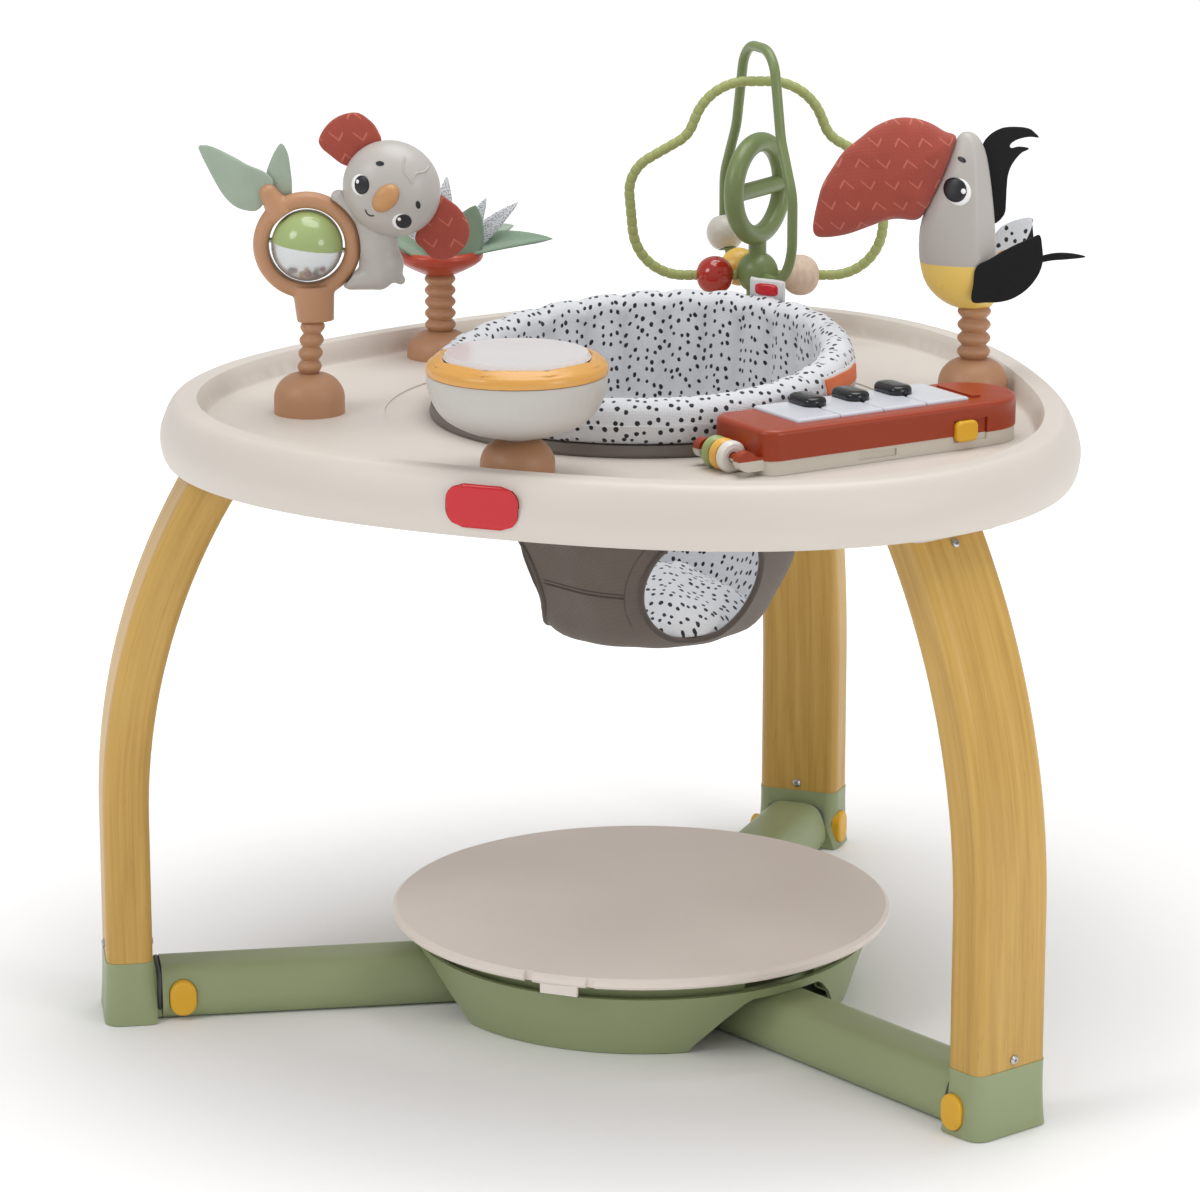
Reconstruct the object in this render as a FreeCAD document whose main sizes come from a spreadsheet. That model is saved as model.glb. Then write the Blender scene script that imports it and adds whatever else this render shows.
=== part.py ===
"""Toddler activity jumper: three-legged tray with a turning seat, toys and a sprung footboard.

Frame: millimetres, +Z up, origin on the floor on the seat's axis, -Y towards the straight front
side of the tray.  The legs stand at 90, 210 and 330 degrees.  Toys are drawn in frames of their
own (x to the right, y away, z the real height) and then turned and placed in the tray.
"""
import FreeCAD, Part
import math
import os

import Sketcher
from FreeCAD import Placement, Rotation, Vector

UP = Vector(0, 0, 1)
ACROSS = Vector(0, 1, 0)
ALONG = Vector(1, 0, 0)

doc = FreeCAD.newDocument("ActivityJumper")
sheet = doc.addObject("Spreadsheet::Sheet", "Sizes")
rows = []


class Size:
    """A number that remembers the sheet expression it came from."""

    def __init__(self, value, text):
        self.value = float(value)
        self.text = text

    def combine(self, sign, other, value):
        other_text = other.text if isinstance(other, Size) else repr(other)
        return Size(value, "(%s %s %s)" % (self.text, sign, other_text))

    def __add__(self, other):
        return self.combine("+", other, self.value + number(other))

    def __sub__(self, other):
        return self.combine("-", other, self.value - number(other))

    def __mul__(self, other):
        return self.combine("*", other, self.value * number(other))

    def __truediv__(self, other):
        return self.combine("/", other, self.value / number(other))

    def __rsub__(self, other):
        return Size(other - self.value, "(%r - %s)" % (other, self.text))

    def __neg__(self):
        return self * -1


def number(value):
    return value.value if isinstance(value, Size) else float(value)


def text(value):
    return value.text if isinstance(value, Size) else repr(float(value))


def cell(alias, value, note):
    """Put a driving dimension in the sheet and return it as a Size."""
    rows.append(alias)
    row = len(rows)
    sheet.set("A%d" % row, note)
    sheet.set("B%d" % row, repr(value))
    sheet.setAlias("B%d" % row, alias)
    return Size(value, "Sizes." + alias)


# ---------------------------------------------------------------- driving dimensions (mm)
tray_mean = cell("tray_mean_radius", 346.7, "tray outline, mean radius at the skirt's hem")
tray_lobe = cell("tray_lobe", 22.8, "how far each rounded corner stands out of the mean")
tray_hem = cell("tray_hem_z", 441.5, "skirt's lower edge")
tray_floor = cell("tray_floor_z", 469.5, "top of the tray's floor")
tray_top = cell("tray_top_z", 487.3, "top of the rim")
tray_wall = cell("tray_wall", 3.5, "moulding's wall")
rim_width = cell("rim_width", 26.5, "rounded ledge round the tray, in from the hem")
seat_hole = cell("seat_hole_radius", 157.0, "opening the seat turns in")
well_radius = cell("well_radius", 200.0, "shallow step round the seat")

leg_radius = cell("leg_radius", 409.0, "leg's centre line from the seat's axis, at the floor")
leg_thick = cell("leg_thick", 36.0, "leg section, radial")
leg_wide = cell("leg_wide", 70.0, "leg section, tangential")
leg_corner = cell("leg_corner", 9.0, "leg section's corner radius")
leg_straight = cell("leg_straight_z", 165.0, "height where the leg begins to curve in")
leg_bend = cell("leg_bend_radius", 505.0, "radius of the curve")
leg_sweep = cell("leg_sweep_angle", 33.5, "angle the leg turns through, degrees")
foot_high = cell("foot_high", 50.0, "foot cap's height")
plug_high = cell("plug_high", 32.0, "foot's plug inside the leg")

arm_wide = cell("arm_wide", 57.0, "base arm's width")
arm_top = cell("arm_top_z", 41.0, "top of the arm")
arm_start = cell("arm_start", 62.0, "arm's inner end from the axis")
arm_end = cell("arm_end", 384.0, "arm's outer end from the axis")
hub_low = cell("hub_low_radius", 165.0, "hub wall at the floor")
hub_high = cell("hub_high_radius", 181.0, "hub wall at its lip")
hub_lip = cell("hub_lip_z", 49.0, "top of the hub's wall")
hub_deck = cell("hub_deck_z", 41.5, "underside of the hub's deck, just over the arms")
deck_thick = cell("deck_thick", 3.5, "hub deck's thickness")
spring_ring = cell("spring_ring", 100.0, "springs' distance from the axis")
spring_well = cell("spring_well", 20.0, "spring well's outer radius")
spring_coil = cell("spring_coil", 13.0, "spring's coil radius")
spring_wire = cell("spring_wire", 1.5, "spring's wire radius")

board_radius = cell("board_radius", 198.0, "footboard's radius")
board_top = cell("board_top_z", 70.6, "footboard's rim, top")
board_thick = cell("board_thick", 8.0, "footboard's rim, thickness")
skirt_radius = cell("skirt_radius", 175.0, "green skirt under the footboard")

button_wide = cell("button_wide", 21.0, "release button")
button_high = cell("button_high", 28.0, "release button")
button_z = cell("button_z", 17.5, "release button's centre")
button_proud = cell("button_proud", 4.0, "how far the button stands out")
button_pocket = cell("button_pocket", 7.0, "depth of its pocket")
button_gap = cell("button_gap", 0.4, "clearance round the button")

ring_radius = cell("seat_ring_radius", 164.5, "seat ring's flange")
ring_high = cell("seat_ring_high", 8.0, "seat ring's height over the tray")
seat_low = cell("seat_front_z", 511.0, "fabric seat's top at the front")
seat_high = cell("seat_back_z", 538.0, "fabric seat's top at the back")
seat_outer = cell("seat_outer_radius", 162.0, "fabric seat, outside")
seat_wall = cell("seat_wall", 30.0, "padded wall's thickness")
pouch_wall = cell("pouch_wall", 6.0, "pouch's fabric")

socket_radius = cell("socket_radius", 27.5, "toy socket's foot")
socket_high = cell("socket_high", 31.0, "toy socket's height")
socket_neck = cell("socket_neck_radius", 9.0, "toy socket's top")
stem_gap = cell("stem_gap", 2.2, "room under a swaying stem")

LEG_ANGLES = {"back": 90, "left": 210, "right": 330}
VIEW_TURN = 21.0
TOYS = {
    "koala": Placement(Vector(-238, -99, 0), Rotation(UP, VIEW_TURN)),
    "flower": Placement(Vector(-226, 134.5, 0), Rotation(UP, VIEW_TURN)),
    "drum": Placement(Vector(-3, -252, 0), Rotation(UP, VIEW_TURN)),
    "beads": Placement(Vector(-6, 290, 0), Rotation(UP, VIEW_TURN)),
    "toucan": Placement(Vector(225.5, 139.5, 4.5), Rotation(UP, VIEW_TURN)),
    "piano": Placement(Vector(209.4, -65.9, 0), Rotation(UP, 52.8)),
}

parts = {}


# ---------------------------------------------------------------- building blocks
def bind(obj, **sizes):
    """Bind properties to the sheet; a double underscore in a name stands for a dot."""
    for name, size in sizes.items():
        obj.setExpression(name.replace("__", "."), text(size))
    return obj


def solid(kind, label, at=(0, 0, 0), turn=None, **sizes):
    """A Part primitive with its sizes and place bound to the sheet."""
    obj = doc.addObject("Part::" + kind, label)
    obj.Placement = Placement(Vector(*[number(v) for v in at]), turn or Rotation())
    for name, size in sizes.items():
        if isinstance(size, Size):
            obj.setExpression(name, size.text)
        else:
            setattr(obj, name, size)
    for axis, size in zip("xyz", at):
        if isinstance(size, Size):
            obj.setExpression("Placement.Base." + axis, size.text)
    return obj


def cylinder(label, radius, height, at=(0, 0, 0), turn=None):
    return solid("Cylinder", label, at, turn, Radius=radius, Height=height)


def sphere(label, radius, at=(0, 0, 0)):
    return solid("Sphere", label, at, None, Radius=radius)


def ellipsoid(label, radii, at=(0, 0, 0), turn=None):
    """An ellipsoid with half-axes radii = (x, y, z)."""
    obj = solid("Ellipsoid", label, at, turn)
    half_x, half_y, half_z = radii
    return bind(obj, Radius1=half_z, Radius2=half_x, Radius3=half_y)


def box(label, sizes, centre, turn=None):
    """A box of the given sizes about its centre."""
    length, width, height = sizes
    turn = turn or Rotation()
    corner = Vector(*[number(v) for v in centre]) - turn.multVec(Vector(*[number(v) / 2 for v in sizes]))
    obj = doc.addObject("Part::Box", label)
    obj.Placement = Placement(corner, turn)
    return bind(obj, Length=length, Width=width, Height=height)


def joined(label, *pieces):
    obj = doc.addObject("Part::MultiFuse", label)
    obj.Shapes = list(pieces)
    return obj


def minus(label, base, *tools):
    for count, tool in enumerate(tools, 1):
        last = count == len(tools)
        obj = doc.addObject("Part::Cut", label if last else "%sCut%d" % (label, count))
        obj.Base = base
        obj.Tool = tool
        base = obj
    return base


def shared(label, *pieces):
    obj = doc.addObject("Part::MultiCommon", label)
    obj.Shapes = list(pieces)
    return obj


def feature(label, shape):
    """A Part::Feature for a shape that no primitive or PartDesign feature makes."""
    obj = doc.addObject("Part::Feature", label)
    obj.Shape = shape
    return obj


def rounded(label, base, radius, wanted):
    """Fillet the edges of base that wanted(edge) picks."""
    doc.recompute()
    obj = doc.addObject("Part::Fillet", label)
    obj.Base = base
    obj.Edges = [(i, number(radius), number(radius))
                 for i, edge in enumerate(base.Shape.Edges, 1) if wanted(edge)]
    return obj


def sketch_on(body, plane, label, points):
    """A closed straight-sided sketch whose corners are bound to the sheet."""
    sketch = body.newObject("Sketcher::SketchObject", label)
    origin_plane = next(f for f in body.Origin.OriginFeatures if f.Role == plane)
    sketch.AttachmentSupport = [(origin_plane, "")]
    sketch.MapMode = "FlatFace"
    corners = [Vector(number(x), number(y), 0) for x, y in points]
    for start, end in zip(corners, corners[1:] + corners[:1]):
        sketch.addGeometry(Part.LineSegment(start, end), False)
    count = len(points)
    for i in range(count):
        sketch.addConstraint(Sketcher.Constraint("Coincident", i, 2, (i + 1) % count, 1))
    for i, (x, y) in enumerate(points):
        if number(x) == 0:
            sketch.addConstraint(Sketcher.Constraint("PointOnObject", i, 1, -2))
        else:
            index = sketch.addConstraint(Sketcher.Constraint("DistanceX", -1, 1, i, 1, number(x)))
            sketch.setExpression("Constraints[%d]" % index, text(x))
        if number(y) == 0:
            sketch.addConstraint(Sketcher.Constraint("PointOnObject", i, 1, -1))
        else:
            index = sketch.addConstraint(Sketcher.Constraint("DistanceY", -1, 1, i, 1, number(y)))
            sketch.setExpression("Constraints[%d]" % index, text(y))
    return sketch


def turned(label, outline, softened=()):
    """A PartDesign body turned about Z from (radius, height) corners.

    softened lists (radius, [corner numbers]): those corners get a fillet.
    """
    body = doc.addObject("PartDesign::Body", label)
    sketch = sketch_on(body, "XZ_Plane", label + "Outline", outline)
    turn = body.newObject("PartDesign::Revolution", label + "Turn")
    turn.Profile = sketch
    turn.ReferenceAxis = (sketch, ["V_Axis"])
    turn.Angle = 360
    doc.recompute()
    for radius, corners in softened:
        wanted = [(number(outline[c][0]), number(outline[c][1])) for c in corners]
        names = []
        for i, edge in enumerate(body.Tip.Shape.Edges, 1):
            if edge.Curve.TypeId != "Part::GeomCircle":
                continue
            for r, z in wanted:
                if abs(edge.Curve.Radius - r) < 0.01 and abs(edge.Curve.Center.z - z) < 0.01:
                    names.append("Edge%d" % i)
        fillet = body.newObject("PartDesign::Fillet", label + "Soft")
        fillet.Base = (body.Tip if body.Tip != fillet else turn, names)
        bind(fillet, Radius=radius)
        body.Tip = fillet
        doc.recompute()
    return body


def padded(label, plane, points, depth, both_ways=False):
    """A PartDesign body padded from a straight-sided sketch."""
    body = doc.addObject("PartDesign::Body", label)
    sketch = sketch_on(body, plane, label + "Outline", points)
    pad = body.newObject("PartDesign::Pad", label + "Pad")
    pad.Profile = sketch
    pad.Midplane = both_ways
    bind(pad, Length=depth)
    doc.recompute()
    return body


def place(obj, where):
    obj.Placement = where
    return obj


def plate(label, points, thickness, y):
    """A flat body in a toy's upright plane, thickness about the plane at y."""
    return place(padded(label, "XZ_Plane", points, thickness, True), Placement(Vector(0, y, 0), Rotation()))


def keep(node, obj, where=None):
    """Name a finished sub-part, put it in its place and list it for export."""
    if where is not None:
        place(obj, where)
    obj.Label = node
    parts[node] = obj
    return obj


def about_z(angle):
    return Placement(Vector(), Rotation(UP, angle))


# ---------------------------------------------------------------- curves used by several parts
def tray_outline(offset, z):
    """The tray's rounded-triangle outline, pushed outwards by offset."""
    points = []
    for step in range(36):
        angle = math.radians(step * 10)
        radius = number(tray_mean) + number(tray_lobe) * math.cos(3 * (angle - math.pi / 2)) + offset
        points.append(Vector(radius * math.cos(angle), radius * math.sin(angle), z))
    curve = Part.BSplineCurve()
    curve.interpolate(Points=points, PeriodicFlag=True)
    return Part.Wire([curve.toShape()])


def tray_loft(levels):
    """A closed solid through tray outlines given as (offset, z)."""
    return Part.makeLoft([tray_outline(offset, z) for offset, z in levels], True)


def rounded_rectangle(length, width, corner, z=0.0, centre=(0.0, 0.0)):
    """A wire in a level plane, with length along x and width along y."""
    face = Part.makePlane(length, width, Vector(centre[0] - length / 2, centre[1] - width / 2, z))
    prism = face.extrude(UP)
    uprights = [e for e in prism.Edges if abs(e.tangentAt(e.FirstParameter).z) > 0.9]
    prism = prism.makeFillet(corner, uprights)
    bottom = min(prism.Faces, key=lambda f: f.CenterOfMass.z)
    return bottom.OuterWire


def bent_path(corners):
    """Straight runs joined by tangent arcs, from corners given as (point, radius)."""
    edges = []
    here = corners[0][0]
    for (before, _), (corner, radius), (after, _) in zip(corners, corners[1:], corners[2:]):
        come = (corner - before).normalize()
        go = (after - corner).normalize()
        half_turn = come.getAngle(go) / 2
        reach = radius * math.tan(half_turn)
        start = corner - come * reach
        end = corner + go * reach
        inward = (go - come).normalize()
        middle = corner + inward * (radius / math.cos(half_turn) - radius)
        if (start - here).Length > 1e-3:
            edges.append(Part.LineSegment(here, start).toShape())
        edges.append(Part.Arc(start, middle, end).toShape())
        here = end
    last = corners[-1][0]
    if (last - here).Length > 1e-3:
        edges.append(Part.LineSegment(here, last).toShape())
    return Part.Wire(edges)


def tube_along(path, radius):
    start = path.Edges[0]
    first = start.valueAt(start.FirstParameter)
    heading = start.tangentAt(start.FirstParameter)
    ring = Part.Wire([Part.makeCircle(radius, first, heading)])
    return path.makePipeShell([ring], True, False)


# ---------------------------------------------------------------- legs, as the tray needs them
def leg_path():
    """The leg's centre line in its own radial plane: straight up, then curving inwards."""
    foot = Vector(number(leg_radius), 0, number(foot_high))
    knee = Vector(number(leg_radius), 0, number(leg_straight))
    centre = knee - Vector(number(leg_bend), 0, 0)

    def on_arc(degrees):
        angle = math.radians(degrees)
        return centre + Vector(math.cos(angle), 0, math.sin(angle)) * number(leg_bend)

    sweep = number(leg_sweep)
    arc = Part.Arc(knee, on_arc(sweep / 2), on_arc(sweep))
    return Part.Wire([Part.LineSegment(foot, knee).toShape(), arc.toShape()])


def leg_shape(extra):
    """The leg's solid, with every face moved out by extra."""
    section = rounded_rectangle(number(leg_thick) + 2 * extra, number(leg_wide) + 2 * extra,
                                number(leg_corner) + extra, number(foot_high), (number(leg_radius), 0))
    return leg_path().makePipeShell([section], True, False)


# ---------------------------------------------------------------- tray
def make_tray():
    hem, floor, top = number(tray_hem), number(tray_floor), number(tray_top)
    wall, rim = number(tray_wall), number(rim_width)
    outside = tray_loft([(0, hem), (2.8, hem + 7), (4, hem + 15), (3, hem + 24), (0.3, top - 14),
                         (-3, top - 7), (-7, top - 2), (-13, top)])
    bowl = tray_loft([(-rim - 7, floor), (-rim - 4.5, floor + 1.5), (-rim - 3, floor + 6),
                      (-rim - 1.2, floor + 12), (-rim + 0.8, top - 1.5), (-rim + 7, top + 0.8)])
    under = tray_loft([(-wall, hem - 1), (0.6 - wall, hem + 15), (-wall, floor - wall)])
    groove_out = tray_loft([(-wall - 1, floor - wall - 1), (-wall - 5, top - 9), (-wall - 8, top - 5)])
    groove_in = tray_loft([(-rim - 2, floor - wall - 2), (4 - rim, top - 4)])
    shape = outside.cut(bowl).cut(under).cut(groove_out.cut(groove_in))

    sockets = []
    for angle in LEG_ANGLES.values():
        block = Part.makeBox(68, number(leg_wide) + 14, floor - wall + 1 - (hem - 4),
                             Vector(290, -number(leg_wide) / 2 - 7, hem - 4))
        uprights = [e for e in block.Edges if abs(e.tangentAt(e.FirstParameter).z) > 0.9]
        block = block.makeFillet(10, uprights).cut(leg_shape(0.3))
        block = max(block.Solids, key=lambda s: s.Volume)
        block.rotate(Vector(), UP, angle)
        sockets.append(block)
    shape = shape.fuse(sockets)

    hole = Part.makeCylinder(number(seat_hole), 60, Vector(0, 0, hem - 5))
    well = Part.makeCylinder(number(well_radius), 5, Vector(0, 0, floor - 1.2))
    collar = Part.makeCylinder(number(seat_hole) + 4, 14, Vector(0, 0, floor - 16))
    shape = shape.fuse(collar).cut([hole, well])
    keep("tray", feature("TrayShell", shape.removeSplitter()))


# ---------------------------------------------------------------- legs, feet and arms
def pill(label, extra, depth):
    """An obround (the release button's outline) standing on the plane z = 0, depth tall."""
    radius = button_wide / 2 + extra
    offset = (button_high - button_wide) / 2
    low = cylinder(label + "Low", radius, depth)
    high = cylinder(label + "High", radius, depth)
    bind(low, Placement__Base__y=-offset)
    bind(high, Placement__Base__y=offset)
    middle = solid("Box", label + "Mid", (-radius, -offset, 0), None, Length=radius * 2,
                   Width=offset * 2, Height=depth)
    return joined(label, low, high, middle)


OUT_OF_SIDE = {1: Rotation(ALONG, -90), -1: Rotation(ALONG, 90)}
FOOT_BUTTON_X = 402.0
ARM_BUTTON_X = 368.0
FOOT_INNER_X = 388.5
PLUG_THICK = 24.0
PLUG_WIDE = 56.0
TONGUE_WIDE = 38.0
TONGUE_HIGH = 24.0
TONGUE_REACH = 45.0
COLLAR_WIDE = 51.0
COLLAR_HIGH = 36.0


def make_leg(side, angle):
    shape = leg_shape(0.0)
    section = rounded_rectangle(PLUG_THICK + 0.4, PLUG_WIDE + 0.4, 6, number(foot_high) - 1,
                                (number(leg_radius), 0))
    pocket = Part.Face(section).extrude(UP * (number(plug_high) + 1.4))
    leg = feature("Leg" + side.title(), shape.cut(pocket))
    keep("leg_" + side, leg, about_z(angle))


def make_foot(side, angle):
    """Foot cap: block under the leg, plug up into the leg and tongue into the arm."""
    name = "Foot" + side.title()
    outer_x = number(leg_radius) + number(leg_thick) / 2 + 1.5
    inner_x = FOOT_INNER_X
    long, wide = outer_x - inner_x, number(leg_wide) + 3
    low = rounded_rectangle(long + 6, wide + 2, 12, 0, ((outer_x + inner_x) / 2 - 2, 0))
    mid = rounded_rectangle(long + 1, wide, 12, 16, ((outer_x + inner_x) / 2 - 0.5, 0))
    high = rounded_rectangle(number(leg_thick) + 1.2, number(leg_wide) + 1.2, number(leg_corner) + 0.6,
                             number(foot_high), (number(leg_radius), 0))
    block = Part.makeLoft([low, mid, high], True)
    # the loft bulges a little past the arm's end, so its inner side is trimmed flat
    block = block.cut(Part.makeBox(20, 120, 60, Vector(inner_x - 20, -60, -1)))
    plug = Part.Face(rounded_rectangle(PLUG_THICK, PLUG_WIDE, 6, number(foot_high) - 2,
                                       (number(leg_radius), 0))).extrude(UP * (number(plug_high) + 2))
    tongue = Part.makeBox(TONGUE_REACH + 6, TONGUE_WIDE, TONGUE_HIGH,
                          Vector(inner_x - TONGUE_REACH, -TONGUE_WIDE / 2, 8))
    collar = Part.makeBox(8, COLLAR_WIDE, COLLAR_HIGH, Vector(number(arm_end) + 0.5, -COLLAR_WIDE / 2, 2))
    ridges = [e for e in collar.Edges if abs(e.tangentAt(e.FirstParameter).x) > 0.9
              and e.CenterOfMass.z > 20]
    collar = collar.makeFillet(12, ridges)
    cap = feature(name + "Cap", block.fuse([plug, tongue, collar]).removeSplitter())
    pocket = pill(name + "Pocket", button_gap, button_pocket + 8)
    place(pocket, Placement(Vector(FOOT_BUTTON_X, -number(leg_wide) / 2 - 8, number(button_z)),
                            OUT_OF_SIDE[1]))
    keep("foot_" + side, minus(name, cap, pocket), about_z(angle))


def arm_section(x):
    """Half-round-shouldered tube section of the base arm, in the plane at x."""
    half, top = number(arm_wide) / 2, number(arm_top)
    corners = [Vector(x, -half + 5, 1), Vector(x, -half, 9), Vector(x, -half + 1, 24),
               Vector(x, -half + 9, top - 3), Vector(x, 0, top), Vector(x, half - 9, top - 3),
               Vector(x, half - 1, 24), Vector(x, half, 9), Vector(x, half - 5, 1)]
    curve = Part.BSplineCurve()
    curve.interpolate(corners)
    base = Part.LineSegment(corners[-1], corners[0])
    return Part.Wire([curve.toShape(), base.toShape()])


def make_arm(side, angle):
    name = "Arm" + side.title()
    start, end = number(arm_start), number(arm_end)
    shape = Part.Face(arm_section(start)).extrude(ALONG * (end - start))
    pocket = Part.makeBox(TONGUE_REACH + 2, TONGUE_WIDE + 0.6, TONGUE_HIGH + 0.6,
                          Vector(end - TONGUE_REACH + 3.2, -TONGUE_WIDE / 2 - 0.3, 7.7))
    tube = feature(name + "Tube", shape.cut(pocket))
    recess = pill(name + "Pocket", button_gap, button_pocket + 8)
    place(recess, Placement(Vector(ARM_BUTTON_X, number(arm_wide) / 2 + 8, number(button_z)),
                            OUT_OF_SIDE[-1]))
    keep("arm_" + side, minus(name, tube, recess), about_z(angle))


def make_buttons(side, angle):
    """One release button in the foot's side and one in the arm's other side."""
    travel_room = 3.0
    deep = button_pocket - travel_room + button_proud
    seats = {
        "foot": (FOOT_BUTTON_X, -number(leg_wide) / 2 - 1, -1),
        "arm": (ARM_BUTTON_X, number(arm_wide) / 2, 1),
    }
    for kind, (x, face_y, out) in seats.items():
        name = "Release%s%s" % (kind.title(), side.title())
        body = pill(name + "Blank", 0, deep)
        inner_y = face_y - out * (number(button_pocket) - travel_room)
        soft = rounded(name, body, 2.2, lambda e: e.BoundBox.ZMin > number(deep) - 0.01)
        keep("release_%s_%s" % (kind, side), soft,
             about_z(angle).multiply(Placement(Vector(x, inner_y, number(button_z)), OUT_OF_SIDE[out])))


def make_screws():
    """Button-head screws on each leg: one outside and one inside low down, one outside high up."""
    low_z = 56.5
    high_turn = 30.6
    screws = []
    half = number(leg_thick) / 2
    for angle in LEG_ANGLES.values():
        arc = math.radians(high_turn)
        centre_x = number(leg_radius) - number(leg_bend)
        high = Vector(centre_x + (number(leg_bend) + half) * math.cos(arc), 0,
                      number(leg_straight) + (number(leg_bend) + half) * math.sin(arc))
        seats = [(Vector(number(leg_radius) + half, 0, low_z), Vector(1, 0, 0)),
                 (Vector(number(leg_radius) - half, 0, low_z), Vector(-1, 0, 0)),
                 (high, Vector(math.cos(arc), 0, math.sin(arc)))]
        for point, out in seats:
            head = Part.makeCylinder(3.5, 1.0, point + out * 0.05, out)
            dome = Part.makeCone(3.5, 2.2, 1.0, point + out * 1.05, out)
            socket = Part.makeCylinder(1.3, 1.2, point + out * 1.0, out)
            screw = head.fuse(dome).cut(socket).removeSplitter()
            screw.rotate(Vector(), UP, angle)
            screws.append(screw)
    keep("leg_screws", feature("LegScrews", Part.makeCompound(screws)))


# ---------------------------------------------------------------- hub, footboard and springs
SPRING_ANGLES = (30, 150, 270)


def make_hub():
    ledge = 24.0
    shell = turned("HubShell", [
        (0, 0), (34, 0), (34, hub_deck), (hub_low - 7, hub_deck), (hub_low - 7, ledge),
        (hub_low + 3.6, ledge), (hub_low - 4, 0), (hub_low, 0), (hub_high, hub_lip),
        (hub_high - 4, hub_lip), (hub_low + 5.1, ledge + 4), (hub_low - 3, ledge + 4),
        (hub_low - 3, hub_deck + deck_thick), (0, hub_deck + deck_thick)])
    tunnel_points = [(-76, -1), (-70, 8), (-54, 26), (-40, 38), (-33, hub_deck), (33, hub_deck),
                     (40, 38), (54, 26), (70, 8), (76, -1)]
    arches = []
    for side, angle in LEG_ANGLES.items():
        arch = padded("HubArch" + side.title(), "YZ_Plane", tunnel_points, 170)
        place(arch, about_z(angle).multiply(Placement(Vector(36, 0, 0), Rotation())))
        arches.append(arch)
    wells = []
    holes = []
    for angle in SPRING_ANGLES:
        x = spring_ring * math.cos(math.radians(angle))
        y = spring_ring * math.sin(math.radians(angle))
        wells.append(cylinder("SpringWell%d" % angle, spring_well, hub_deck - 4, (x, y, 5)))
        holes.append(cylinder("SpringHole%d" % angle, spring_well - 3, 60, (x, y, 8)))
    opened = minus("HubOpened", shell, *arches)
    keep("hub", minus("Hub", joined("HubWelled", opened, *wells), *holes))


def make_footboard():
    low = board_top - board_thick
    plate = turned("FootboardPlate", [
        (0, low), (board_radius - 1.5, low), (board_radius, low + 2), (board_radius, board_top - 2.5),
        (board_radius - 3, board_top), (board_radius - 16, board_top - 0.6), (0, board_top - 2.6)])
    notches = [box("TabNotch%d" % (i + 1), (7, 8, 20), (x, -board_radius + 2, board_top - 4))
               for i, x in enumerate((-19, 31))]
    tab = box("TabHook", (30, 3, 9), (6, -board_radius + 3.2, low - 3))
    keep("footboard", joined("Footboard", minus("FootboardNotched", plate, *notches), tab))

    hoop = turned("SkirtHoop", [
        (skirt_radius - 7.5, 42.5), (skirt_radius - 4.7, 42.5), (skirt_radius, low),
        (skirt_radius - 3, low)])
    arches = [box("SkirtArch" + side.title(), (80, 72, 60), (0, 0, 0)) for side in LEG_ANGLES]
    for arch, angle in zip(arches, LEG_ANGLES.values()):
        place(arch, about_z(angle).multiply(Placement(Vector(130, -36, -5), Rotation())))
    keep("footboard_skirt", minus("FootboardSkirt", hoop, *arches))


def make_springs():
    """Compression springs standing in the hub's wells, with closed turns at both ends."""
    low, high = 8 + number(spring_wire), number(board_top) - number(board_thick) - number(spring_wire)
    coil, wire = number(spring_coil), number(spring_wire)
    helix = Part.makeHelix((high - low) / 6, high - low, coil)
    ring = Part.Wire([Part.makeCircle(wire, Vector(coil, 0, 0), ACROSS)])
    spring = helix.makePipeShell([ring], True, True)
    coils = []
    for angle in SPRING_ANGLES:
        copy = spring.copy()
        arm = math.radians(angle)
        copy.translate(Vector(number(spring_ring) * math.cos(arm),
                              number(spring_ring) * math.sin(arm), low))
        coils.append(copy)
    keep("footboard_springs", feature("FootboardSprings", Part.makeCompound(coils)))


# ---------------------------------------------------------------- seat
def make_seat():
    floor = tray_floor
    inner = seat_hole - 5
    keep("seat_ring", turned("SeatRing", [
        (inner, floor - 22), (seat_hole + 3, floor - 22), (seat_hole + 3, floor - 17),
        (seat_hole - 0.6, floor - 17), (seat_hole - 0.6, floor - 0.6), (ring_radius, floor - 0.6),
        (ring_radius + 0.6, floor + 1.5), (ring_radius - 1, floor + ring_high), (inner, floor + ring_high)]))

    base_z = floor + ring_high + 0.1
    tube = turned("CushionTube", [
        (seat_outer - seat_wall, base_z), (seat_outer, base_z), (seat_outer + 1, base_z + 30),
        (seat_outer, 560), (seat_outer - seat_wall, 560)])
    slope = math.degrees(math.atan2(number(seat_high - seat_low), 2 * number(seat_outer)))
    lid = box("CushionLid", (500, 500, 100), (0, 0, 0))
    tilt = Rotation(ALONG, slope)
    middle = (number(seat_low) + number(seat_high)) / 2
    place(lid, Placement(Vector(0, 0, middle) + tilt.multVec(Vector(-250, -250, 0)), tilt))
    keep("seat_cushion", minus("SeatCushion", tube, lid))

    make_pouch()


POUCH_LEVELS = [(148.0, 476.0), (147.5, 464.0), (144.0, 452.0), (131.0, 438.0), (120.0, 424.0),
                (113.0, 405.0), (108.0, 370.0), (98.0, 330.0), (80.0, 302.0), (52.0, 289.0)]
LEG_HOLE_TURN = (-40, -140)
LEG_HOLE_RADIUS = 46.0
LEG_HOLE_Z = 345.0


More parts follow.
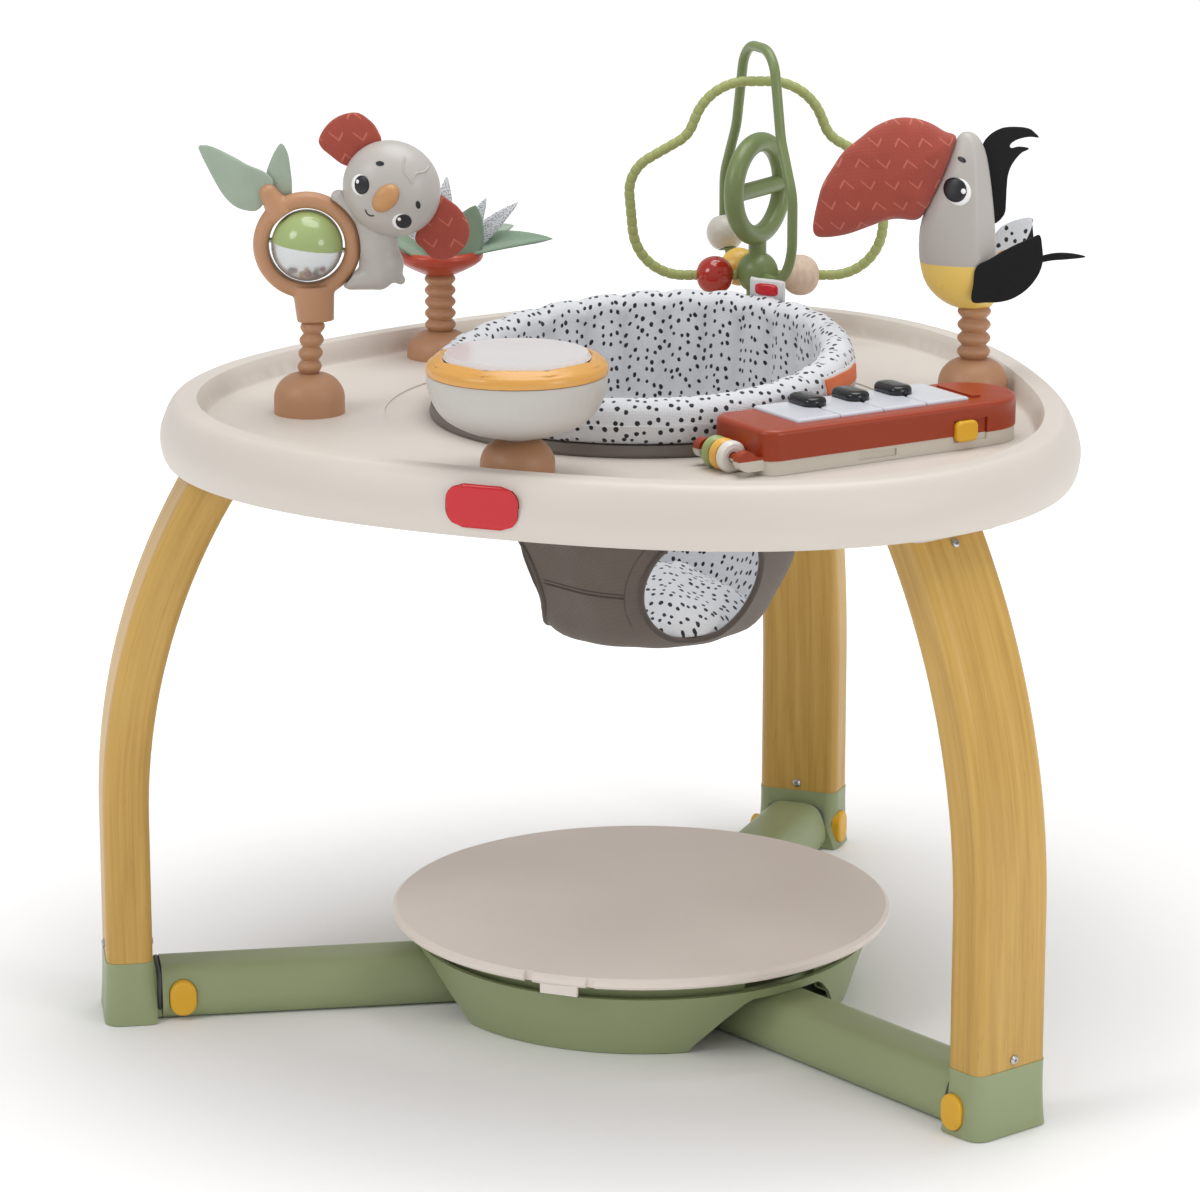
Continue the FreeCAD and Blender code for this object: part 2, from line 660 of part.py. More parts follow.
def make_pouch():
    """The hanging fabric pouch, a lofted shell with two leg holes."""
    def shell(inset, drop):
        rings = [Part.Wire([Part.makeCircle(radius - inset, Vector(0, 0, z + drop))])
                 for radius, z in POUCH_LEVELS]
        return Part.makeLoft(rings, True)

    wall = number(pouch_wall)
    skin = shell(0, 0).cut(shell(wall, wall))
    rim = Part.makeCylinder(number(seat_hole) - 6.5, 6, Vector(0, 0, 476 - 5.9))
    lining = Part.makeCylinder(POUCH_LEVELS[0][0] - wall, 30, Vector(0, 0, 462))
    skin = skin.fuse(rim.cut(lining)).cut(Part.makeCylinder(60, 40, Vector(0, 0, 476.1)))
    for turn in LEG_HOLE_TURN:
        out = Vector(math.cos(math.radians(turn)), math.sin(math.radians(turn)), 0)
        skin = skin.cut(Part.makeCylinder(LEG_HOLE_RADIUS, 140, out * 20 + UP * LEG_HOLE_Z, out))
    skin = max(skin.Solids, key=lambda s: s.Volume)
    keep("seat_pouch", feature("SeatPouch", skin))


# ---------------------------------------------------------------- toys
FLOWER_SOCKET_HIGH = 22.0


def make_sockets():
    """One domed socket under each of the five standing toys."""
    radius, high, neck = number(socket_radius), number(socket_high), number(socket_neck)
    foot = 12.0
    sockets = []
    for name, where in TOYS.items():
        if name == "piano":
            continue
        rise = FLOWER_SOCKET_HIGH if name == "flower" else high
        low = 3.0 if name == "flower" else foot
        base = Vector(where.Base.x, where.Base.y, number(tray_floor))
        swell = 3.5
        profile = Part.Wire([
            Part.LineSegment(Vector(0, 0, 0), Vector(radius, 0, 0)).toShape(),
            Part.LineSegment(Vector(radius, 0, 0), Vector(radius, 0, low)).toShape(),
            Part.Arc(Vector(radius, 0, low),
                     Vector((radius + neck) / 2 + swell, 0, (rise + low) / 2 + swell),
                     Vector(neck, 0, rise)).toShape(),
            Part.LineSegment(Vector(neck, 0, rise), Vector(0, 0, rise)).toShape(),
            Part.LineSegment(Vector(0, 0, rise), Vector(0, 0, 0)).toShape()])
        socket = Part.Solid(Part.Face(profile).revolve(Vector(), UP, 360))
        socket.translate(base)
        sockets.append(socket)
    keep("toy_sockets", feature("ToySockets", Part.makeCompound(sockets)))


def ribbed(label, low, high, valley, bulge, count):
    """A rubber stem whose outline zigzags between valley and bulge radii."""
    pitch = (high - low) / count
    outline = [(0, low), (valley, low)]
    for i in range(count):
        outline += [(bulge, low + pitch * (i + 0.42)), (bulge, low + pitch * (i + 0.58)),
                    (valley, low + pitch * (i + 1))]
    outline.append((0, high))
    return turned(label, outline)


KOALA_RING_Z = 600.6
RATTLE_RADIUS = 27.6
RATTLE_TILT = 8.0
RATTLE_WALL = 2.0
PELLETS = [(-9, 2, -21), (-2, -5, -22.2), (5, 3, -22.2), (11, -3, -20), (1, 9, -20.5), (-7, -9, -19.5)]


LEAF_LONG = [(-81, 678), (-70, 677), (-50, 667), (-33, 659), (-27, 648), (-31, 636), (-38, 627),
             (-50, 629), (-61, 638), (-70, 652)]
LEAF_SHORT = [(-19, 679), (-14, 672), (-12, 658), (-13, 645), (-22, 641), (-29, 650), (-28, 664),
              (-24, 675)]


def make_koala():
    where = TOYS["koala"]
    low = tray_floor + socket_high + stem_gap
    keep("koala_stem", ribbed("KoalaStem", low, 528, 7.5, 9.5, 3), where)

    wheel = turned("RingBand", [(29.2, -7), (38.5, -7), (40.5, -4), (40.5, 4), (38.5, 7), (29.2, 7)])
    place(wheel, Placement(Vector(0, 0, KOALA_RING_Z), Rotation(ALONG, 90)))
    handle = solid("Cone", "RingHandle", (0, 0, 528.1), None, Radius1=15.5, Radius2=18.0, Height=38.0)
    trim = cylinder("RingHandleTrim", 29.2, 60, (0, 30, KOALA_RING_Z), Rotation(ALONG, 90))
    stub = solid("Cone", "RingStub", (-24, 0, 627), Rotation(ACROSS, -44), Radius1=9.0, Radius2=7.5,
                 Height=18.0)
    tilt = Rotation(ACROSS, RATTLE_TILT)
    bore = cylinder("RingBore", 2.05, 74)
    across = tilt.multiply(Rotation(ACROSS, 90))
    place(bore, Placement(Vector(0, 0, KOALA_RING_Z) - across.multVec(UP * 37), across))
    rough = joined("RingRough", wheel, minus("RingHandleCut", handle, trim), stub)
    ring = minus("BranchRing", rough, bore)
    keep("branch_ring", ring, where)

    centre = (0, 0, KOALA_RING_Z)
    half = box("RattleHalf", (80, 80, 40), (0, 0, 0))
    place(half, Placement(Vector(0, 0, KOALA_RING_Z) + tilt.multVec(Vector(-40, -40, 0)), tilt))
    pin = cylinder("RattlePin", 2.0, 72, (0, 0, 0))
    place(pin, Placement(Vector(0, 0, KOALA_RING_Z) - across.multVec(UP * 36), across))
    shell = minus("RattleShell", joined("RattleBall", sphere("RattleOut", RATTLE_RADIUS, centre), pin),
                  sphere("RattleIn", RATTLE_RADIUS - RATTLE_WALL, centre))
    keep("rattle_cap", shared("RattleCap", shell, half), where)
    keep("rattle_bowl", minus("RattleBowl", shell, half), where)

    pellets = []
    for x, y, z in PELLETS:
        pellets.append(Part.makeSphere(2.5, tilt.multVec(Vector(x, y, z)) + Vector(0, 0, KOALA_RING_Z)))
    keep("rattle_pellets", feature("RattlePellets", Part.makeCompound(pellets)), where)

    lean = Rotation(ACROSS, 40)
    head = ellipsoid("KoalaHead", (38, 29, 35), (65.7, -4, 644), lean)
    torso = ellipsoid("KoalaTorso", (20, 17, 34), (54, 0, 600), Rotation(ACROSS, -28))
    haunch = ellipsoid("KoalaHaunch", (22, 18, 15), (53, -2, 587), Rotation(ACROSS, 10))
    arm = ellipsoid("KoalaArm", (18, 10, 8), (38, -6, 622), Rotation(ACROSS, 45))
    figure = joined("KoalaFigure", head, torso, haunch, arm)
    clear = cylinder("KoalaClear", 40.9, 60, (0, 30, KOALA_RING_Z), Rotation(ALONG, 90))
    room = cylinder("KoalaHandleClear", 18.6, 60, (0, 0, 520))
    keep("koala_body", minus("KoalaBody", figure, clear, room), where)

    ears = [ellipsoid("KoalaEarHigh", (21, 3.2, 19), (35, 0, 678), Rotation(ACROSS, -10)),
            ellipsoid("KoalaEarLow", (17, 3.2, 20), (104, 0, 612), Rotation(ACROSS, 20))]
    ears = [minus("KoalaEarTrim%d" % i, ear, head) for i, ear in enumerate(ears, 1)]
    pair = doc.addObject("Part::Compound", "KoalaEars")
    pair.Links = ears
    keep("koala_ears", pair, where)

    leaves = joined("LeafPair", plate("LeafLong", LEAF_LONG, 5, 0), plate("LeafShort", LEAF_SHORT, 5, 0))
    keep("branch_leaves", minus("BranchLeaves", leaves, rough), where)


FLOWER_LEAVES = [  # lean from upright in degrees, bearing in degrees, length, half width
    (78, 0, 92, 15), (25, 20, 66, 15), (55, 180, 70, 15), (50, 270, 62, 14), (62, 90, 76, 15),
    (12, 120, 76, 11), (52, 40, 76, 10), (38, 225, 66, 10)]


def make_flower():
    where = TOYS["flower"]
    low = tray_floor + FLOWER_SOCKET_HIGH + stem_gap
    keep("flower_stem", ribbed("FlowerStem", low, 530, 10.5, 12.8, 4), where)
    keep("flower_cup", turned("FlowerCup", [
        (0, 530.1), (14, 530.1), (24, 536), (33.5, 541.5), (34, 545.5), (31, 545.5), (20, 540),
        (0, 538)]), where)
    petals = []
    for i, (lean, bearing, length, half_width) in enumerate(FLOWER_LEAVES, 1):
        aim = Rotation(UP, bearing).multiply(Rotation(ACROSS, lean))
        middle = Vector(0, 0, 543) + aim.multVec(UP * (length / 2 - 4))
        petals.append(ellipsoid("Petal%d" % i, (2.2, half_width, length / 2), tuple(middle), aim))
    cup_room = turned("PetalRoom", [(0, 520), (36, 520), (36, 546.2), (31, 546.2), (20, 540.8), (0, 538.6)])
    keep("flower_leaves", minus("FlowerLeaves", joined("Petals", *petals), cup_room), where)


def make_drum():
    where = TOYS["drum"]
    low = tray_floor + socket_high
    keep("drum_bowl", turned("DrumBowl", [
        (0, low), (12, low), (12, 503), (28, 504.5), (52, 514), (61, 529), (61, 532), (56.5, 532),
        (48, 517), (26, 507.5), (0, 507)]), where)
    keep("drum_rim", turned("DrumBand", [
        (56.8, 532.2), (61.5, 532.2), (63, 531), (65, 540), (65.5, 552), (62, 558), (55.4, 560),
        (54.6, 556), (57, 550)]), where)
    keep("drum_head", turned("DrumHead", [
        (0, 559.5), (48, 559.5), (50, 557.6), (52.5, 557.6), (54.1, 560.2), (51.5, 563.5), (0, 564)]),
        where)


BALL_Z = 527.0
BALL_RADIUS = 17.4
RUN_Z = 524.5
LOOP_TUBE = 4.2
TORUS_Z = 597.0
OUTER_LOOP = [(100, RUN_Z, 42), (108, 612, 32), (58, 641, 26), (40, 686, 46)]
INNER_LOOP = [(68, RUN_Z, 40), (68, 600, 40), (44, 644, 50), (28, 714, 26)]
INNER_TURN = -67.5


def loop_tube(half):
    """A closed loop through the ball, mirrored about its upright axis, from half its corners."""
    right = [(Vector(x, 0, z), radius) for x, z, radius in half]
    left = [(Vector(-x, 0, z), radius) for x, z, radius in reversed(half)]
    start = Vector(0, 0, RUN_Z)
    path = bent_path([(start, 0)] + right + left + [(start, 0)])
    return tube_along(path, LOOP_TUBE)


def bead(label, node, radius, spot, where, bore):
    ball = sphere(label + "Ball", radius)
    place(ball, Placement(Vector(), Rotation(ACROSS, 90)))
    flat = box(label + "Flat", (27, 60, 60), (0, 0, 0))
    hole = cylinder(label + "Hole", bore, 60, (0, 0, 0), Rotation(ACROSS, 90))
    place(hole, Placement(Vector(-30, 0, 0), Rotation(ACROSS, 90)))
    keep(node, minus(label, shared(label + "Body", ball, flat), hole), where.multiply(spot))


def make_bead_toy():
    where = TOYS["beads"]
    low = number(tray_floor) + number(socket_high)
    post = Part.makeCylinder(9, BALL_Z - low, Vector(0, 0, low))
    ball = Part.makeSphere(BALL_RADIUS, Vector(0, 0, BALL_Z))
    neck = Part.makeCylinder(7.5, 18, Vector(0, 0, BALL_Z + 13))
    spin = Rotation(UP, 57)
    hoop = Part.makeTorus(38.5, 8.2, Vector(0, 0, TORUS_Z), spin.multVec(ACROSS))
    bar_way = spin.multVec(ALONG)
    bar = Part.makeCylinder(7, 77, Vector(0, 0, TORUS_Z) - bar_way * 38.5, bar_way)
    inner = loop_tube(INNER_LOOP)
    inner.rotate(Vector(), UP, INNER_TURN)
    frame = post.fuse([ball, neck, hoop, bar, inner]).removeSplitter()
    keep("bead_post", feature("BeadPost", frame), where)

    outer = loop_tube(OUTER_LOOP).cut(Part.makeSphere(BALL_RADIUS, Vector(0, 0, BALL_Z)))
    outer = max(outer.Solids, key=lambda s: s.Volume)
    keep("loop_outer", feature("LoopOuter", outer), where)

    turned_frame = where.multiply(Placement(Vector(), Rotation(UP, INNER_TURN)))
    corner = Vector(-28, 0, RUN_Z + 40)
    bead("BeadRed", "bead_red", 16.5, Placement(Vector(-35.2, 0, RUN_Z), Rotation()), where, 5.6)
    bead("BeadWood", "bead_wood", 17.0, Placement(Vector(35.8, 0, RUN_Z), Rotation()), where, 5.6)
    for name, degrees, radius in (("yellow", 12, 16.0), ("pale", 68, 16.0)):
        spot = corner + Rotation(ACROSS, degrees).multVec(Vector(0, 0, -40))
        bead("Bead" + name.title(), "bead_" + name, radius, Placement(spot, Rotation(ACROSS, degrees)),
             turned_frame, 7.4)


TOUCAN_BEAK = [(-24, 671), (-42, 683), (-62, 686), (-82, 680), (-106, 661), (-122, 632), (-129, 600),
               (-122, 594), (-98, 596), (-72, 606), (-36, 608)]
TOUCAN_CREST = [(-2, 664), (14, 675), (31, 679), (45, 670), (30, 668), (38, 662), (27, 653), (22, 625),
                (12, 606)]
TOUCAN_WING = [(-2, 566), (20, 582), (44, 594), (50, 579), (86, 577), (49, 572), (39, 550), (24, 541),
               (-4, 541)]


def make_toucan():
    where = TOYS["toucan"]
    low = tray_floor + socket_high + stem_gap - where.Base.z
    keep("toucan_stem", ribbed("ToucanStem", low, 535, 10.0, 13.0, 4), where)
    belly = ellipsoid("ToucanBelly", (30, 25, 37), (-16, 0, 572))
    head = ellipsoid("ToucanHead", (26, 22, 44), (-17, 0, 628), Rotation(ACROSS, 6))
    waist = cylinder("ToucanWaist", 24, 44, (-16, 0, 572))
    seat = cylinder("ToucanSeat", 14, 12, (0, 0, 535.3))
    trim = cylinder("ToucanTrim", 60, 30, (0, 0, 505.2))
    figure = joined("ToucanFigure", belly, head, waist, seat)
    keep("toucan_body", minus("ToucanBody", figure, trim), where)

    beak = plate("ToucanBeakPlate", TOUCAN_BEAK, 24, 0)
    keep("toucan_beak", minus("ToucanBeak", beak, figure), where)
    crest = plate("ToucanCrest", TOUCAN_CREST, 3, 0)
    wings = [plate("ToucanWing%d" % i, TOUCAN_WING, 2.4, y) for i, y in enumerate((-27.5, 27.5), 1)]
    band = plate("ToucanBand", [(14, 548), (22, 556), (22, 572), (14, 580)], 57, 0)
    feathers = minus("ToucanFeathers", joined("ToucanFeatherSet", crest, band, *wings), figure)
    keep("toucan_feathers", feathers, where)


# ---------------------------------------------------------------- piano
PIANO_HALF_LENGTH = 122.0
PIANO_HALF_WIDTH = 38.5
PIANO_SEAM = 480.5
PIANO_TOP = 503.5
KEY_LEFT = -86.0
KEY_PITCH = 39.0
KEY_BACK = 35.0
KEY_FRONT = -24.0
BAR_X = -134.0
BAR_Z = 481.5
SLIDER_LEFT = 46.0
SLIDER_LONG = 20.0
SLIDER_LOW = 476.0
SLIDER_HIGH = 16.0


def piano_outline(inset, z):
    """Plan of the case: nearly square left end, round right end."""
    left = -PIANO_HALF_LENGTH + inset
    half = PIANO_HALF_WIDTH - inset
    centre = PIANO_HALF_LENGTH - PIANO_HALF_WIDTH
    corner = 14.0 - inset
    points = [Vector(left + corner, -half, z), Vector(centre, -half, z), Vector(centre + half, 0, z),
              Vector(centre, half, z), Vector(left + corner, half, z), Vector(left, half - corner, z),
              Vector(left, corner - half, z)]
    soft = corner * (1 - math.sqrt(0.5))
    return Part.Wire([
        Part.LineSegment(points[0], points[1]).toShape(),
        Part.Arc(points[1], points[2], points[3]).toShape(),
        Part.LineSegment(points[3], points[4]).toShape(),
        Part.Arc(points[4], Vector(left + soft, half - soft, z), points[5]).toShape(),
        Part.LineSegment(points[5], points[6]).toShape(),
        Part.Arc(points[6], Vector(left + soft, soft - half, z), points[0]).toShape()])


def key_box(index, gap, low, high):
    """Room for one white key, gap wider than the key all round."""
    left = KEY_LEFT + KEY_PITCH * index + 0.8 - gap
    return Part.makeBox(KEY_PITCH - 1.6 + 2 * gap, KEY_BACK - KEY_FRONT + 2 * gap, high - low,
                        Vector(left, KEY_FRONT - gap, low))


def black_key(index, gap, low, high):
    """Rounded black key over the gap between two white keys."""
    x = KEY_LEFT + KEY_PITCH * (index + 1)
    wire = rounded_rectangle(17 + 2 * gap, 30 + 2 * gap, 8 + gap, low, (x, KEY_BACK - 15))
    return Part.Face(wire).extrude(UP * (high - low))


def slider_room():
    """Shallow recess that the slider runs in, 10 longer than the slider."""
    return Part.makeBox(SLIDER_LONG + 10.8, 6, SLIDER_HIGH + 0.8,
                        Vector(SLIDER_LEFT - 0.4, 2.0 - PIANO_HALF_WIDTH - 6, SLIDER_LOW - 0.4))


def make_piano():
    where = TOYS["piano"]
    floor = number(tray_floor) + 0.2
    lower = Part.Face(piano_outline(0.8, floor)).extrude(UP * (PIANO_SEAM - floor))
    hollow = Part.Face(piano_outline(4, floor + 3)).extrude(UP * (PIANO_SEAM - floor))
    lugs = []
    for side in (1, -1):
        lug = Part.makeCylinder(7.5, 8, Vector(BAR_X, side * 27 - 4, BAR_Z), ACROSS)
        link = Part.makeBox(18, 8, 10, Vector(BAR_X, side * 27 - 4, BAR_Z - 8))
        lugs += [lug, link]
    bar = Part.makeCylinder(3.5, 54, Vector(BAR_X, -27, BAR_Z), ACROSS)
    slot = Part.makeBox(34, 2.5, 5.5, Vector(-40, -PIANO_HALF_WIDTH - 0.2, 472.5))
    seam_room = Part.Face(piano_outline(0, PIANO_SEAM)).extrude(UP * 20)
    base = lower.cut(hollow).fuse(lugs + [bar]).cut([slot, seam_room, slider_room()])
    keep("piano_base", feature("PianoBase", max(base.Solids, key=lambda s: s.Volume)), where)

    upper = Part.Face(piano_outline(0, PIANO_SEAM + 0.1)).extrude(UP * (PIANO_TOP - PIANO_SEAM - 0.1))
    rim = [e for e in upper.Edges if e.BoundBox.ZMin > PIANO_TOP - 0.1]
    upper = upper.makeFillet(4.0, rim)
    room = Part.Face(piano_outline(3, PIANO_SEAM)).extrude(UP * 9)
    bays = [key_box(i, 0.4, 492, 510) for i in range(4)]
    black_room = [black_key(i, 0.0, 486, 510) for i in range(3)]
    ridge = Part.makeBox(7, 46, 2, Vector(76, -20, PIANO_TOP - 0.5))
    upper = upper.cut([room] + bays + black_room + [slider_room()]).fuse(ridge).removeSplitter()
    keep("piano_top", feature("PianoTop", max(upper.Solids, key=lambda s: s.Volume)), where)

    for i in range(4):
        key = key_box(i, 0.0, 494.5, 506.0)
        top = [e for e in key.Edges if e.BoundBox.ZMin > 505.9]
        key = key.makeFillet(2.2, top).cut([black_key(j, 0.5, 486, 512) for j in range(3)])
        name = "WhiteKey%d" % (i + 1)
        keep("white_key_%d" % (i + 1), feature(name, max(key.Solids, key=lambda s: s.Volume)), where)
    blacks = []
    for i in range(3):
        key = black_key(i, 0.0, 486.2, 510.0)
        top = [e for e in key.Edges if e.BoundBox.ZMin > 509.9]
        blacks.append(key.makeFillet(3.0, top))
    keep("piano_black_keys", feature("PianoBlackKeys", Part.makeCompound(blacks)), where)

    slider = Part.makeBox(SLIDER_LONG, 5.4, SLIDER_HIGH,
                          Vector(SLIDER_LEFT, -PIANO_HALF_WIDTH - 3.8, SLIDER_LOW))
    ends = [e for e in slider.Edges if abs(e.tangentAt(e.FirstParameter).y) > 0.9]
    slider = slider.makeFillet(5.0, ends)
    face = [e for e in slider.Edges if e.BoundBox.YMax < -PIANO_HALF_WIDTH - 3.7]
    keep("piano_slider", feature("PianoSlider", slider.makeFillet(2.0, face)), where)

    for i, (name, y) in enumerate((("green", 11.0), ("yellow", 1.0), ("white", -9.0))):
        ring = turned("Ring" + name.title(), [
            (4.0, -3), (7, -4.2), (10, -3.8), (12, -1.6), (12, 1.6), (10, 3.8), (7, 4.2), (4.0, 3)])
        keep("piano_ring_" + name, ring,
             where.multiply(Placement(Vector(BAR_X, y, BAR_Z), Rotation(ALONG, 90))))


# ---------------------------------------------------------------- build, check and write
def build():
    make_tray()
    for side, angle in LEG_ANGLES.items():
        make_leg(side, angle)
        make_foot(side, angle)
        make_arm(side, angle)
        make_buttons(side, angle)
    make_screws()
    make_hub()
    make_footboard()
    make_springs()
    make_seat()
    make_sockets()
    make_koala()
    make_flower()
    make_drum()
    make_bead_toy()
    make_toucan()
    make_piano()
    doc.recompute()


def check():
    for obj in doc.Objects:
        bad = [state for state in obj.State if state in ("Invalid", "Error")]
        if bad:
            raise RuntimeError("%s is %s" % (obj.Name, bad))
    for node, obj in parts.items():
        shape = obj.Shape
        if shape.isNull() or not shape.isValid() or not shape.Solids:
            raise RuntimeError("%s has no valid solid" % node)


def write():
    os.makedirs("parts", exist_ok=True)
    for node, obj in parts.items():
        obj.Shape.exportStep("parts/%s.step" % node)
        bounds = obj.Shape.BoundBox
        print("%-20s solids %2d  volume %9.0f  x %7.1f %7.1f  y %7.1f %7.1f  z %6.1f %6.1f" % (
            node, len(obj.Shape.Solids), obj.Shape.Volume, bounds.XMin, bounds.XMax,
            bounds.YMin, bounds.YMax, bounds.ZMin, bounds.ZMax))


build()
check()
write()
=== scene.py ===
"""Looks of the toddler activity jumper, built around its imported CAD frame.

Metres, +Z up, in the frame of the CAD.  Toys are drawn in millimetres in the toy's own upright
frame (x to the right, y away, z the real height), then placed by toy_frame().
"""
import math

import bmesh
import bpy
from mathutils import Matrix, Vector, noise
from mathutils.bvhtree import BVHTree


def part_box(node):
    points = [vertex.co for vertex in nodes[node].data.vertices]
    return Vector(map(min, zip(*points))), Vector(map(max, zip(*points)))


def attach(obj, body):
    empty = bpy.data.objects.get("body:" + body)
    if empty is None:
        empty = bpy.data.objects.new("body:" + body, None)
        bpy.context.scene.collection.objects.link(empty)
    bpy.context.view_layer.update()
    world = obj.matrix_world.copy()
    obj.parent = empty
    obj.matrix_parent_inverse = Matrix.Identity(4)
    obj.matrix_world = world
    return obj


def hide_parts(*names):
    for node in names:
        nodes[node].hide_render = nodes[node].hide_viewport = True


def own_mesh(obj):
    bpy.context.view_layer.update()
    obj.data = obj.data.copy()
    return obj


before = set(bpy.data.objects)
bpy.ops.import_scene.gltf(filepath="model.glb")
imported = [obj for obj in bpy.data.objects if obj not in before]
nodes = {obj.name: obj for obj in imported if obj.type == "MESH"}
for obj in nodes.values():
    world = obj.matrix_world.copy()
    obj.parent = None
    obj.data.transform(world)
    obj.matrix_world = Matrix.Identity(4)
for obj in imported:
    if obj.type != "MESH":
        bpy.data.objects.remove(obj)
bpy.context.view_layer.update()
scene = bpy.context.scene

MM = 0.001
AWAY = Vector((0, 1, 0))
TOY_TURN = 21.0
TURN = 2 * math.pi  # a full turn


def polar(radius, degrees, z=0.0):
    """The point at a radius, a bearing in degrees and a height."""
    angle = math.radians(degrees)
    return Vector((radius * math.cos(angle), radius * math.sin(angle), z))


def turned(degrees, axis="Z"):
    return Matrix.Rotation(math.radians(degrees), 4, axis)


def clamp(value):
    """The value held between 0 and 1."""
    return max(0.0, min(1.0, value))


# ---------------------------------------------------------------- camera, floor and light
def make_camera():
    """Long lens in front of the tray, a little to the right and above."""
    azimuth, elevation, distance = math.radians(20.89), math.radians(14.58), 3.6665
    focal_length, image_width, sensor = 4673.9, 1200, 36.0
    aim_height, aim_left = 0.3202, 0.0327
    right = Vector((math.cos(azimuth), math.sin(azimuth), 0))
    aim = Vector((0, 0, aim_height)) - right * aim_left
    level = math.cos(elevation)
    back = Vector((math.sin(azimuth) * level, -math.cos(azimuth) * level, math.sin(elevation)))
    camera = bpy.data.objects.new("camera", bpy.data.cameras.new("camera"))
    camera.data.sensor_fit = "HORIZONTAL"
    camera.data.sensor_width = sensor
    camera.data.lens = focal_length / image_width * sensor
    camera.data.clip_end = 50
    camera.location = aim + back * distance
    camera.rotation_euler = back.to_track_quat("Z", "Y").to_euler()
    scene.collection.objects.link(camera)
    scene.camera = camera


make_camera()


def linear(rgb):
    """An sRGB colour given as 0 to 255, as linear RGBA."""
    def one(value):
        value /= 255
        return value / 12.92 if value <= 0.04045 else ((value + 0.055) / 1.055) ** 2.4
    return tuple(one(v) for v in rgb) + (1.0,)


def area_light(name, place, target, size, power):
    light = bpy.data.lights.new(name, "AREA")
    light.shape = "DISK"
    light.size = size
    light.energy = power
    lamp = bpy.data.objects.new(name, light)
    lamp.location = place
    lamp.rotation_euler = (Vector(place) - Vector(target)).to_track_quat("Z", "Y").to_euler()
    scene.collection.objects.link(lamp)


def make_studio():
    """Even pale surroundings, a large soft key light, a top light and a weak side light."""
    world = bpy.data.worlds.new("studio")
    scene.world = world
    world.use_nodes = True
    tree = world.node_tree
    choice = tree.nodes.new("ShaderNodeMixShader")
    seen = tree.nodes.new("ShaderNodeLightPath").outputs["Is Camera Ray"]
    tree.links.new(seen, choice.inputs[0])
    grounds = (tree.nodes["Background"], tree.nodes.new("ShaderNodeBackground"))
    for ground, strength, socket in zip(grounds, (0.53, 1.0), choice.inputs[1:]):
        ground.inputs["Color"].default_value = (1, 1, 1, 1)
        ground.inputs["Strength"].default_value = strength
        tree.links.new(ground.outputs[0], socket)
    tree.links.new(choice.outputs[0], tree.nodes["World Output"].inputs[0])
    area_light("key", (-1.7, -2.4, 2.6), (0, 0, 0.35), 1.4, 24)
    area_light("top", (0.2, 0.3, 3.0), (0, 0, 0.4), 2.2, 44)
    area_light("side", (2.6, -1.0, 1.3), (0, 0, 0.3), 1.0, 12)
    scene.view_settings.view_transform = "Standard"
    scene.view_settings.look = "None"


